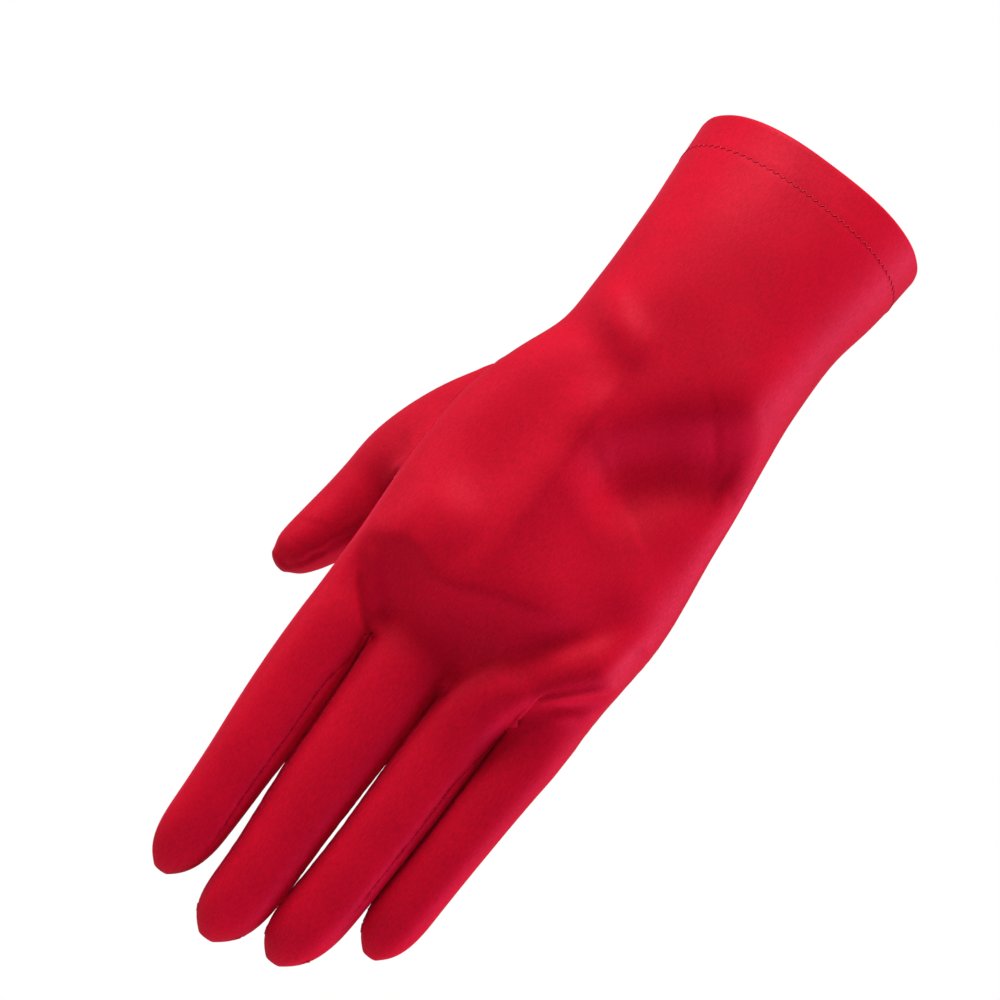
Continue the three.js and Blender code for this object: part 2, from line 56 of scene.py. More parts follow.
# Sections from the rim to the knuckles. drop is a share of the drop to the named place, left and right are
# shares of its half breadth, back and palm of its half depth, and shift is of the hand's depth. lean is a
# share of the cuff's lean, and round is the power that squares the section's corners.
SECTION_COLUMNS = ("place", "drop", "left", "right", "back", "palm", "shift", "lean", "round")
SECTIONS = (
    ("rim", 0.0, 1.0, 1.0, 1.0, 1.0, 0.0, 1.0, 2.3),
    ("rim", 0.3, 0.97, 0.955, 0.97, 0.97, -0.155, 0.9, 2.3),
    ("rim", 0.6, 0.945, 0.875, 0.9, 0.9, -0.31, 0.6, 2.3),
    ("wrist", 1.0, 1.04, 0.982, 0.985, 0.985, -0.41, 0.25, 2.35),
    ("hand", 0.53, 0.815, 0.79, 1.3, 1.32, -0.46, 0.0, 2.35),
    ("hand", 0.64, 0.95, 0.837, 1.18, 1.3, -0.48, 0.0, 2.35),
    ("hand", 0.76, 1.035, 0.865, 1.08, 1.22, -0.49, 0.0, 2.35),
    ("hand", 0.88, 1.065, 0.91, 1.03, 1.08, -0.48, 0.0, 2.4),
    ("hand", 1.0, 1.07, 0.94, 1.0, 1.0, -0.47, 0.0, 2.4),
    ("hand", 1.16, 1.055, 0.92, 0.93, 0.92, -0.45, 0.0, 2.4),
    ("hand", 1.32, 1.035, 0.895, 0.88, 0.85, -0.43, 0.0, 2.4),
)

# Soft forms of the hand under the cloth, from one place to another: x is a share of the hand's breadth and
# drop of the crotches' drop, reach is a share of the breadth and push of the hand's depth.
FORM_COLUMNS = ("side", "x", "drop", "to_x", "to_drop", "reach", "push")
FORMS = (
    # Thumb pad, heel, pads under the fingers and hollow of the palm
    ("palm", -0.28, 0.66, -0.22, 0.5, 0.24, 0.26),
    ("palm", 0.26, 0.62, 0.3, 0.78, 0.19, 0.12),
    ("palm", -0.3, 0.93, 0.26, 0.9, 0.13, 0.08),
    ("palm", 0.02, 0.7, 0.06, 0.84, 0.15, -0.1),
    # Ridge over the middle bone, wrist bone and the hollow under it, fold at the wrist
    ("back", -0.12, 0.52, -0.12, 0.76, 0.12, 0.07),
    ("back", 0.2, 0.33, 0.2, 0.33, 0.17, 0.07),
    ("back", 0.26, 0.48, 0.06, 0.57, 0.15, -0.04),
    ("back", -0.34, 0.36, -0.18, 0.4, 0.06, 0.07),
    # Index and little knuckles, fold to the little crotch and crease at the index crotch
    ("back", -0.36, 0.78, -0.3, 0.78, 0.11, 0.05),
    ("back", 0.26, 0.73, 0.3, 0.73, 0.12, 0.05),
    ("back", 0.4, 0.8, 0.26, 0.89, 0.07, 0.05),
    ("back", -0.42, 0.91, -0.31, 0.97, 0.05, -0.08),
)

# Fingers: root is the breadth at the crotches and rise how far the root stands above them. left_seam and
# right_seam are the degrees from the finger's side to its seams on the back.
FINGER_COLUMNS = ("name", "length", "depth", "root", "rise", "left_seam", "right_seam")
FINGERS = (
    ("index", 74.2 * MM, 15.6 * MM, 16.9 * MM, 0.0, 38, 52),
    ("middle", 80.5 * MM, 16.2 * MM, 21.4 * MM, 0.0, 15, 18),
    ("ring", 76.3 * MM, 15.6 * MM, 17.8 * MM, 0.6 * MM, 20, 42),
    ("little", 66.2 * MM, 13.6 * MM, 15.8 * MM, 5.2 * MM, 14, 38),
)

# How fingers change along their length: the x of each one's left and right side in millimetres, their depth
# as a share, and how far they have bent towards the palm in degrees
TAPER_COLUMNS = ("along", "index_left", "index_right", "middle_left", "middle_right", "ring_left",
                 "ring_right", "little_left", "little_right", "depth", "bend")
TAPER = (
    (0.0, -38.6, -21.5, -21.4, -0.6, -0.5, 17.3, 17.3, 33.5, 1.04, 4.0),
    (0.2, -38.4, -20.4, -20.4, -0.5, -0.45, 17.2, 17.2, 32.4, 1.0, 5.4),
    (0.4, -37.6, -19.8, -19.7, -0.8, 0.0, 17.1, 17.15, 31.7, 0.98, 7.1),
    (0.6, -36.3, -19.9, -18.3, -0.85, 0.1, 16.6, 16.9, 31.1, 0.93, 10.3),
    (0.8, -35.3, -19.95, -17.2, -0.75, -0.4, 15.9, 16.4, 30.7, 0.85, 13.6),
    (1.0, -35.3, -20.5, -18.05, -1.65, -1.65, 14.0, 16.3, 30.9, 0.76, 17.0),
)

# Thumb, where it hangs free: x is in shares of the hand's breadth, y of its depth and z of the thumb's
# length below its seam's top; across and deep are shares of its half sizes.
THUMB_COLUMNS = ("x", "y", "z", "across", "deep")
THUMB = (
    (-0.553, 0.3, 0.74, 1.03, 1.0),
    (-0.57, 0.36, 0.86, 0.96, 0.96),
    (-0.592, 0.4, 0.97, 0.87, 0.91),
    (-0.617, 0.43, 1.08, 0.76, 0.84),
    (-0.642, 0.45, 1.175, 0.64, 0.72),
    (-0.664, 0.46, 1.25, 0.46, 0.52),
    (-0.68, 0.465, 1.3, 0.0, 0.0),
)

# Folds and dents of the cloth on the back of the hand, in millimetres: push, left, right, end, and the x and
# z of the line's points. push is how far the cloth stands out on the line, left and right are how far that
# fades on each side, walking down the line, and end is the share of the push that is left at the line's end.
FOLDS = (
    # Crease and bright ridge that run into the index crotch
    (-1.1, 1.7, 1.0, 1.0, (-33.8, -140.2), (-30.0, -143.6), (-25.8, -147.2), (-21.6, -151.0)),
    (1.4, 3.0, 1.5, 0.5, (-34.5, -132.5), (-31.0, -137.8), (-26.8, -142.8), (-22.6, -148.0)),
    # Thin crest that runs into the little finger's crotch, with the valley and a faint ridge under it
    (1.0, 0.8, 1.5, 0.3, (31.6, -124.5), (25.8, -131.5), (21.1, -138.4), (18.3, -143.6)),
    (-0.4, 2.2, 1.2, 1.0, (32.4, -127.5), (27.5, -133.5), (22.9, -139.5), (19.4, -145.0)),
    (0.6, 1.5, 1.5, 0.2, (32.4, -134.2), (27.4, -137.8), (23.0, -141.5)),
    # Broad bright flank beside it, and the fold above the middle crotch
    (5.3, 8.0, 6.0, 0.2, (33.0, -116.0), (21.0, -130.5), (16.0, -138.0), (10.5, -145.5), (5.5, -151.0)),
    (-1.3, 1.5, 1.5, 1.0, (6.8, -134.9), (3.2, -140.7), (0.9, -145.2), (-0.3, -151.0)),
    # Knuckles, with a notch between the index and the middle one, the slope under them and its foot
    (2.6, 11.0, 4.2, 0.1, (-43.0, -132.0), (-32.4, -128.8), (-27.7, -126.0), (-22.5, -126.5),
     (-17.0, -130.5), (-11.6, -129.0), (-4.0, -124.6), (11.0, -120.8), (24.0, -117.5)),
    (2.7, 20.0, 11.0, 0.1, (-43.0, -133.5), (-22.0, -130.5), (-8.0, -129.5), (8.0, -124.0), (22.0, -119.0)),
    (-1.7, 8.0, 8.0, 0.1, (-42.0, -139.0), (-29.0, -142.0), (-19.0, -143.0), (-8.0, -141.5), (6.0, -137.0)),
    # Sharp edge along the middle bone, and the broad flank beside it
    (1.0, 2.6, 10.0, 0.2, (-13.5, -58.0), (-11.0, -74.0), (-10.0, -90.0), (-10.0, -106.0), (-11.0, -126.0)),
    (1.6, 14.0, 9.0, 0.2, (-11.0, -70.0), (-10.0, -84.0), (-9.5, -100.0), (-10.0, -120.0)),
    # Diagonal hollow under the wrist bone and the rise above it
    (-4.1, 11.0, 14.0, 0.0, (29.0, -60.0), (23.0, -70.0), (13.0, -79.0), (5.0, -90.0), (1.0, -101.0)),
    (1.6, 8.0, 9.0, 0.2, (28.0, -51.0), (13.0, -60.0), (0.0, -70.0), (-8.0, -81.0)),
    # Fold across the wrist on the thumb's side, and its dip
    (0.4, 5.0, 3.4, 0.2, (-31.0, -52.0), (-24.0, -55.5), (-18.8, -58.8), (-12.8, -63.1), (-9.0, -67.0)),
    (-0.4, 4.0, 4.0, 0.2, (-27.0, -61.0), (-20.0, -65.0), (-14.0, -69.5)),
    # Folds at the root of the thumb
    (-0.9, 1.0, 1.4, 0.3, (-40.9, -91.0), (-40.4, -98.0), (-39.4, -104.5)),
    (0.6, 1.3, 1.3, 0.3, (-45.6, -102.4), (-43.0, -105.4), (-40.0, -108.2)),
    (-0.7, 1.2, 1.0, 0.3, (-37.2, -81.0), (-37.9, -89.0), (-38.4, -96.5)),
)

# Steps of the cage: across a finger's back, round its side, and the bands from the rim down
SPAN = 5
SIDE = 4
BACK = 4 * SPAN
AROUND = 2 * (BACK + SIDE)
HEM_BANDS = 3
CUFF_BANDS = 9
WRIST_BANDS = 7
WINDOW_BANDS = 8
KNUCKLE_BANDS = 9
FINGER_BANDS = 15
TIP_BANDS = 3
WINDOW_COLUMNS = 6
THUMB_ROOT_BANDS = 4
THUMB_BANDS = 10

# Smoothing the cage draws a finger's ring in, so its rings are this much fuller
FULLNESS = 1.022

# Above this height a seam is the hem's, which lies flatter than the others
HEM_LINE = -30 * MM
HEM_DEPTH = 0.15

# Power that squares the corners of a finger's section
ROUND = 2.3

# Finger roots: from what share of the crotches' drop the hand's cloth dips between them, how far below the
# crotches the first ring lies, over what length a finger comes free of its neighbours, and over what length
# its back seams spread from a crotch, and from what share
DIP_START = 0.88
FIRST_RING_DROP = 2.2 * MM
FREE_LENGTH = 7 * MM
SPREAD_LENGTH = 17 * MM
SPREAD_START = 0.3

# Thumb root: how far its rings leave the hand, as a share of the way to the free thumb, and to the side
THUMB_LEAVE = 0.36
THUMB_SWELL = 4.2 * MM
THUMB_ROOT_STEP = 5 * MM
THUMB_FREE_LENGTH = 40 * MM
THUMB_SEAM_COLUMN = 15

# Cloth at its seams and elsewhere, in millimetres: it is drawn in on the seam, swells and puckers beside it,
# and has slow waves that are lower on the fingers
DRAWN, DRAWN_WIDTH = -0.16, 0.8
SWELL, SWELL_PLACE, SWELL_WIDTH = 0.12, 1.8, 1.0
PUCKER, PUCKER_LENGTH, PUCKER_REACH = 0.34, 1.9, 1.8
WAVE, FINGER_WAVE, WAVE_LENGTH, WAVE_LINE = 0.25, 0.1, 16, -140

# Distance from a finger's tip within which its seams lie flat, and over which they deepen
TIP_FLAT = 10 * MM
TIP_FADE = 9 * MM

# Depth that the cloth's edge rolls in at a seam, and the widths of the two rows of faces that roll it
ROLL = 0.18 * MM
ROLL_WIDTHS = (0.42 * MM, 0.2 * MM)

# Studio lights: name, size, power, place, aim and colour
GLOVE_MIDDLE = (-0.01, -0.01, -0.11)
LIGHTS = (
    ("key", 0.5, 28, (-0.52, -0.56, 1.07), GLOVE_MIDDLE, (1, 1, 1)),
    ("left", 0.6, 7, (-1.35, -0.25, 0.1), GLOVE_MIDDLE, (1, 0.7, 0.85)),
    ("right", 0.6, 16, (1.25, 0.15, 0.35), GLOVE_MIDDLE, (1, 0.35, 0.75)),
    ("low", 0.3, 3, (0.65, -0.1, -0.36), (0.01, -0.01, -0.18), (0.8, 0.3, 1)),
    ("tips", 0.15, 0.13, (-0.03, -0.12, -0.34), (-0.01, -0.01, -0.2), (1, 0.5, 1)),
)
FLOOR_HEIGHT = -1.4
FLOOR_RADIUS = 6.0

# Sewn pieces: the node each one replaces, its material's slot, and the width, length and area of its cut
# before a hand stretches it. The hem's are those of its finished, doubled band.
PIECES = (
    ("hand_panel", "satin", 165 * MM, 222 * MM, 310 * MM * 100 * MM),
    ("thumb", "satin", 64 * MM, 72 * MM, 33 * MM * 100 * MM),
    ("fourchette_index_middle", "satin", 13 * MM, 146 * MM, 13 * MM * 100 * MM),
    ("fourchette_middle_ring", "satin", 11 * MM, 146 * MM, 11.4 * MM * 100 * MM),
    ("fourchette_ring_little", "satin", 11 * MM, 140 * MM, 10.8 * MM * 100 * MM),
    ("cuff_hem", "hem", 185 * MM, 11.5 * MM, 21 * MM * 100 * MM),
)
HAND, THUMB_PIECE, FIRST_FOURCHETTE, HEM = 0, 1, 2, 5


def length_value(name, description, default):
    """A length that a user would change."""
    return bpy.props.FloatProperty(
        name=name, description=description, default=default, min=0.0, unit="LENGTH")


def hex_colour(name, description, code):
    """A colour that a user would change, from its sRGB hex value."""
    return bpy.props.FloatVectorProperty(
        name=name, description=description, default=linear(code), min=0.0, max=1.0, size=3, subtype="COLOR")


def linear(code):
    """An sRGB hex value such as C4122A as linear red, green and blue."""
    shares = [int(code[i:i + 2], 16) / 255 for i in (0, 2, 4)]
    return tuple(s / 12.92 if s <= 0.04045 else ((s + 0.055) / 1.055) ** 2.4 for s in shares)


class GloveShape(bpy.types.PropertyGroup):
    """Driving sizes of the glove, the same as those of its solids"""

    rim_breadth: length_value("Rim breadth", "Breadth of the wrist opening", 64 * MM)
    rim_depth: length_value("Rim depth", "Depth of the wrist opening", 46 * MM)
    hem_width: length_value("Hem width", "Height of the doubled hem", 9 * MM)
    cuff_lean: bpy.props.FloatProperty(
        name="Cuff lean", description="Tilt of the wrist opening", default=math.radians(14),
        subtype="ANGLE")
    wrist_breadth: length_value("Wrist breadth", "Breadth where the wrist is narrowest", 57.4 * MM)
    wrist_depth: length_value("Wrist depth", "Depth where the wrist is narrowest", 40 * MM)
    wrist_drop: length_value("Wrist drop", "From the rim to the wrist", 50 * MM)
    hand_breadth: length_value("Hand breadth", "Breadth over the knuckles", 74.4 * MM)
    hand_depth: length_value("Hand depth", "Depth at the knuckles", 28 * MM)
    knuckle_drop: length_value("Knuckle drop", "From the rim to the knuckles", 116 * MM)
    crotch_drop: length_value("Crotch drop", "From the rim to the finger crotches", 150 * MM)
    finger_gap: length_value("Finger gap", "Gap between the roots of two fingers", 0.15 * MM)
    tip_length: length_value("Tip length", "Length of a finger's rounded tip", 13 * MM)
    crotch_dip: length_value("Crotch dip", "How far the cloth dips between two fingers", 1.2 * MM)
    seam_angle: bpy.props.FloatProperty(
        name="Seam angle", description="From a finger's side to its seam on the palm",
        default=math.radians(38), subtype="ANGLE")
    thumb_length: length_value("Thumb length", "Length of the thumb below its seam", 52 * MM)
    thumb_breadth: length_value("Thumb breadth", "Breadth of the thumb", 20 * MM)
    thumb_depth: length_value("Thumb depth", "Depth of the thumb", 19.5 * MM)
    thumb_seam_drop: length_value("Thumb seam drop", "From the rim to the top of the thumb's seam", 79 * MM)
    thumb_seam_length: length_value("Thumb seam length", "Height of the window for the thumb", 35 * MM)


class GloveCloth(bpy.types.PropertyGroup):
    """Cloth, thread and colours of the glove"""

    wall: length_value("Cloth wall", "Thickness of the satin", 0.9 * MM)
    hem_wall: length_value("Hem wall", "Thickness of the doubled hem", 2.0 * MM)
    seam_gap: length_value("Seam gap", "Gap between two cloths at a seam", 0.06 * MM)
    thread: length_value("Thread", "Thickness of the sewing thread", 0.26 * MM)
    satin: hex_colour("Satin", "Colour of the satin", "C20D26")
    satin_shade: hex_colour("Satin shade", "Colour of the satin's darker yarns", "A80A20")
    thread_colour: hex_colour("Thread colour", "Colour of the sewing thread", "C2122E")


class SmoothTable:
    """A table whose columns are read on a smooth curve through its rows"""

    def __init__(self, columns, rows, key):
        self.rows = [dict(zip(columns, row)) for row in rows]
        self.key = key

    def read(self, column, at):
        rows, key = self.rows, self.key
        i = 1
        while i < len(rows) - 1 and at > rows[i][key]:
            i += 1
        a, b = rows[i - 1], rows[i]
        before = rows[i - 2] if i > 1 else a
        after = rows[i + 1] if i + 1 < len(rows) else b
        width = b[key] - a[key]
        t = min(1.0, max(0.0, (at - a[key]) / width))
        slope_a = (b[column] - before[column]) / (b[key] - before[key]) * width
        slope_b = (after[column] - a[column]) / (after[key] - a[key]) * width
        t2, t3 = t * t, t * t * t
        return ((2 * t3 - 3 * t2 + 1) * a[column] + (t3 - 2 * t2 + t) * slope_a
                + (3 * t2 - 2 * t3) * b[column] + (t3 - t2) * slope_b)


def eased(t):
    return t * t * (3 - 2 * t)


def smooth(t):
    return eased(min(1.0, max(0.0, t)))


def mix(a, b, t):
    return a + (b - a) * t


def rounded(across, power):
    """How far out a rounded section stands at a place across it, both in shares of its half sizes."""
    return max(0.0, 1 - abs(across) ** power) ** (1 / power)


def corner_point(angle, half_breadth, half_depth):
    """A point of a section with squared corners."""
    c, s = math.cos(angle), math.sin(angle)
    return (half_breadth * math.copysign(abs(c) ** (2 / ROUND), c),
            half_depth * math.copysign(abs(s) ** (2 / ROUND), s))


class Pattern:
    """Works out where each ring of the glove's cloth lies, from its sizes and tables"""

    def __init__(self, shape):
        self.shape = shape
        places = {
            "rim": (shape.wrist_drop, shape.rim_breadth / 2, shape.rim_depth / 2),
            "wrist": (shape.wrist_drop, shape.wrist_breadth / 2, shape.wrist_depth / 2),
            "hand": (shape.knuckle_drop, shape.hand_breadth / 2, shape.hand_depth / 2),
        }
        rows = []
        for place, drop, left, right, back, palm, shift, lean, power in SECTIONS:
            far, breadth, depth = places[place]
            rows.append((place, drop * far, left * breadth, right * breadth, back * depth, palm * depth,
                         shift * shape.hand_depth, lean * shape.cuff_lean, power))
        self.sections = SmoothTable(SECTION_COLUMNS, rows, "drop")
        self.taper = SmoothTable(TAPER_COLUMNS, TAPER, "along")
        self.fingers = [dict(zip(FINGER_COLUMNS, row)) for row in FINGERS]
        left = -self.sections.read("left", shape.crotch_drop)
        for finger in self.fingers:
            finger["middle"] = left + finger["root"] / 2
            left += finger["root"]
        self.root_y = self.sections.read("shift", shape.crotch_drop)
        self.columns = self.crotch_columns()
        self.root_points = [self.root_point(column) for column in self.columns]
        right_end = self.root_points[BACK + SIDE // 2][0]
        left_end = self.root_points[AROUND - SIDE // 2][0]
        self.root_half = (right_end - left_end) / 2
        self.root_centre = (right_end + left_end) / 2
        self.rises = SmoothTable(("x", "rise"), [(f["middle"], f["rise"]) for f in self.fingers], "x")

    def ring_angles(self, finger, narrow=1.0, opening=1.0):
        """Angles round a finger from its back left seam, along the back, right side, palm and left side.

        narrow draws all seams to the finger's sides, and opening only those that run out of a crotch.
        """
        seam = self.shape.seam_angle * narrow
        left = math.radians(finger["left_seam"]) * narrow * (1 if finger is self.fingers[0] else opening)
        right = math.radians(finger["right_seam"]) * narrow * (1 if finger is self.fingers[-1] else opening)
        corners = (math.pi + left, 2 * math.pi - right, 2 * math.pi + seam, 3 * math.pi - seam,
                   3 * math.pi + left)
        angles = []
        for i, count in enumerate((SPAN, SIDE, SPAN, SIDE)):
            angles += [mix(corners[i], corners[i + 1], k / count) for k in range(count)]
        return angles

    def crotch_columns(self):
        """For each column of the hand's ring: the finger it runs down to, and where on that finger."""
        columns = [None] * AROUND
        for i, finger in enumerate(self.fingers):
            last = i == len(self.fingers) - 1
            angles = self.ring_angles(finger)
            low = corner_point(angles[0], 1, 1)[0] if i == 0 else -1
            high = corner_point(angles[SPAN], 1, 1)[0] if last else 1
            for k in range(SPAN + (1 if last else 0)):
                across = mix(low, high, k / SPAN)
                columns[i * SPAN + k] = (finger, across, -1, None)
                columns[2 * BACK + SIDE - i * SPAN - k] = (finger, across, 1, None)
        first_angles = self.ring_angles(self.fingers[0])
        last_angles = self.ring_angles(self.fingers[-1])
        for k in range(1, SIDE):
            columns[BACK + k] = (self.fingers[-1], 0, 0, last_angles[SPAN + k])
            columns[2 * BACK + SIDE + k] = (self.fingers[0], 0, 0, first_angles[2 * SPAN + SIDE + k])
        return columns

    def root_point(self, column):
        """Where a column of the hand's ring lies at the finger roots: x, y, and its y before it dips."""
        finger, across, side, angle = column
        half = finger["root"] / 2
        depth = finger["depth"] / 2 * self.taper.read("depth", 0)
        if angle is not None:
            x, y = corner_point(angle, half, depth)
            return finger["middle"] + x, self.root_y + y, self.root_y + y
        edge = rounded(across, ROUND) if abs(across) < 1 else 0.0
        x = finger["middle"] + across * half
        return x, self.root_y + side * depth * max(edge, 0.5), self.root_y + side * depth * max(edge, 0.9)

    def rise(self, k):
        x = self.root_points[k][0]
        low, high = self.fingers[0]["middle"], self.fingers[-1]["middle"]
        return self.rises.read("rise", min(high, max(low, x)))

    def form_push(self, x, z, outward):
        """Push of the soft forms under the cloth at a place of the back or the palm."""
        shape = self.shape
        push = 0.0
        for row in FORMS:
            form = dict(zip(FORM_COLUMNS, row))
            facing = outward if form["side"] == "palm" else -outward
            if facing <= 0:
                continue
            a = Vector((form["x"] * shape.hand_breadth, -form["drop"] * shape.crotch_drop))
            b = Vector((form["to_x"] * shape.hand_breadth, -form["to_drop"] * shape.crotch_drop))
            along = b - a
            t = (Vector((x, z)) - a).dot(along) / (along.length_squared or 1)
            near = a + along * min(1.0, max(0.0, t))
            away = (Vector((x, z)) - near).length / (form["reach"] * shape.hand_breadth)
            push += form["push"] * shape.hand_depth * math.exp(-away * away * 1.6) * min(1.0, facing * 1.6)
        return push

    def hand_point(self, k, drop):
        shape, read = self.shape, self.sections.read
        left, right = read("left", drop), read("right", drop)
        across = (self.root_points[k][0] - self.root_centre) / self.root_half
        across = min(1.0, max(-1.0, across))
        palm = BACK + SIDE // 2 < k < AROUND - SIDE // 2
        outward = rounded(across, read("round", drop)) * (1 if palm else -1)
        y = outward * read("palm" if palm else "back", drop)
        lean = read("lean", drop)
        blend = smooth((drop - shape.knuckle_drop) / (shape.crotch_drop - shape.knuckle_drop))
        lift = smooth((drop - shape.wrist_drop) / (shape.crotch_drop - shape.wrist_drop)) * self.rise(k)
        root_x, root_y, before_y = self.root_points[k]
        dip = smooth((drop / shape.crotch_drop - DIP_START) / (1 - DIP_START))
        p = Vector((mix((right - left) / 2 + across * (right + left) / 2, root_x, blend),
                    mix(read("shift", drop) + y * math.cos(lean), mix(before_y, root_y, dip), blend),
                    -drop - y * math.sin(lean) + lift))
        p.y += math.copysign(1, outward) * self.form_push(p.x, p.z - lift, outward)
        return p

    def finger_line(self, finger, along):
        """The finger's middle line and its tilt: going down, it bends towards the palm and leans aside."""
        steps = 24
        step = along * finger["length"] / steps
        y, z = self.root_y, finger["rise"] - self.shape.crotch_drop
        for s in range(steps):
            angle = math.radians(self.taper.read("bend", along * (s + 0.5) / steps))
            y += math.sin(angle) * step
            z -= math.cos(angle) * step
        x = mix(finger["middle"], sum(self.finger_sides(finger, along)) / 2, self.clear(finger, along))
        return Vector((x, y, z)), math.radians(self.taper.read("bend", along))

    def clear(self, finger, along):
        """How far a finger is on its own: 0 at the crotches and 1 soon after them."""
        return smooth(along * finger["length"] / FREE_LENGTH)

    def finger_sides(self, finger, along):
        return [self.taper.read(finger["name"] + side, along) * MM for side in ("_left", "_right")]

    def finger_ring(self, finger, along, full):
        """A ring of a finger. full falls from 1 as the tip rounds over, where the seams draw together."""
        centre, tilt = self.finger_line(finger, along)
        left, right = self.finger_sides(finger, along)
        half = mix(finger["root"] - self.shape.finger_gap, right - left, self.clear(finger, along)) / 2
        breadth = half * full * FULLNESS
        depth = finger["depth"] / 2 * self.taper.read("depth", along) * full * FULLNESS
        # The seams draw to the finger's sides, slowly from its middle and faster at its tip
        narrow = (1 - 0.6 * smooth((along - 0.55) / 0.55)) * (1 - 0.6 * smooth((along - 0.86) / 0.1))
        opening = mix(SPREAD_START, 1, smooth(along * finger["length"] / SPREAD_LENGTH))
        ring = []
        for angle in self.ring_angles(finger, narrow, opening):
            x, y = corner_point(angle, breadth, depth)
            ring.append(centre + Vector((x, y * math.cos(tilt), y * math.sin(tilt))))
        return ring

    def thumb_place(self, at):
        """The thumb's middle line: at counts the rows of its table."""
        rows = THUMB
        i = min(len(rows) - 2, int(at))
        t = at - i
        a, b = rows[i], rows[i + 1]
        before = rows[i - 1] if i else a
        after = rows[i + 2] if i + 2 < len(rows) else b
        weights = (-0.5 * t + t * t - 0.5 * t ** 3, 1 - 2.5 * t * t + 1.5 * t ** 3,
                   0.5 * t + 2 * t * t - 1.5 * t ** 3, -0.5 * t * t + 0.5 * t ** 3)
        x, y, z, across, deep = (sum(w * row[c] for w, row in zip(weights, (before, a, b, after)))
                                 for c in range(5))
        shape = self.shape
        place = Vector((x * shape.hand_breadth, y * shape.hand_depth,
                        -shape.thumb_seam_drop - z * shape.thumb_length))
        return place, across, deep

    def thumb_forward(self, at):
        end = len(THUMB) - 1
        ahead = self.thumb_place(min(end, at + 0.5))[0]
        behind = self.thumb_place(max(0.0, at - 0.5))[0]
        return (ahead - behind).normalized()

    def thumb_ring(self, at, count):
        """A ring round the thumb. Its first point lies by the window's palm corner."""
        place, across, deep = self.thumb_place(at)
        forward = self.thumb_forward(at)
        outer = Vector((-1, 0, 1)).normalized()
        up = (outer - forward * outer.dot(forward)).normalized()
        side = forward.cross(up)
        turn = 2 * math.pi / count
        first = math.radians(90 - 30) - WINDOW_COLUMNS / 2 * turn
        return [place + side * math.cos(first + k * turn) * deep * self.shape.thumb_depth / 2
                + up * math.sin(first + k * turn) * across * self.shape.thumb_breadth / 2
                for k in range(count)]


def extrude_edges(bm, edges, verts):
    """Extrudes edges. Returns the vertex that each of their vertices grew, and the edges between those."""
    made = bmesh.ops.extrude_edge_only(bm, edges=edges)["geom"]
    fresh = {v for v in made if isinstance(v, bmesh.types.BMVert)}
    grown = {v: next(e.other_vert(v) for e in v.link_edges if e.other_vert(v) in fresh) for v in verts}
    return grown, [e for e in made if isinstance(e, bmesh.types.BMEdge) and fresh.issuperset(e.verts)]


def extrude_ring(bm, ring, places, piece_at, along, girth):
    """Extrudes a closed ring of vertices to new places, and gives each new face its piece and its UVs.

    along is how far down the cloth the upper and the lower ring lie, and girth is the distance round them.
    """
    uv = bm.loops.layers.uv.verify()
    count = len(ring)
    edges = [bm.edges.get((ring[k], ring[(k + 1) % count])) for k in range(count)]
    lower = list(extrude_edges(bm, edges, ring)[0].values())
    for vert, place in zip(lower, places):
        vert.co = place
    for k in range(count):
        after = (k + 1) % count
        face = next(f for f in edges[k].link_faces if lower[k] in f.verts)
        face.material_index = piece_at(k)
        for loop in face.loops:
            share = k + (1 if loop.vert in (ring[after], lower[after]) else 0)
            down = along[1] if loop.vert in (lower[k], lower[after]) else along[0]
            loop[uv].uv = (share / count * girth, down)
    return lower


def cap_ring(bm, ring, span, tip, piece, along):
    """Closes a ring over a tip with a grid of faces that bulges to the tip."""
    uv = bm.loops.layers.uv.verify()
    count = len(ring)
    side = count // 2 - span
    rail_a = [bm.edges.get((ring[k], ring[k + 1])) for k in range(span)]
    rail_b = [bm.edges.get((ring[k], ring[k + 1])) for k in range(span + side, 2 * span + side)]
    known = set(bm.verts)
    faces = bmesh.ops.grid_fill(bm, edges=rail_a + rail_b)["faces"]
    middle = sum((v.co for v in ring), Vector()) / count
    reach = tip - middle
    forward = reach.normalized()
    for vert in set(bm.verts) - known:
        out = vert.co - middle
        out -= forward * out.dot(forward)
        edge = max(((v.co - middle) for v in ring), key=lambda e: e.dot(out))
        inset = min(1.0, out.length / max(1e-9, edge.length))
        vert.co = vert.co + reach * math.sqrt(1 - inset * inset)
    for face in faces:
        face.material_index = piece
        for loop in face.loops:
            loop[uv].uv = (loop.vert.co.x, along - loop.vert.co.z + middle.z)
    return faces


def seam_line(bm, verts):
    """Marks the edges along a row of vertices as a seam."""
    for a, b in zip(verts, verts[1:]):
        edge = bm.edges.get((a, b))
        if edge:
            edge.seam = True


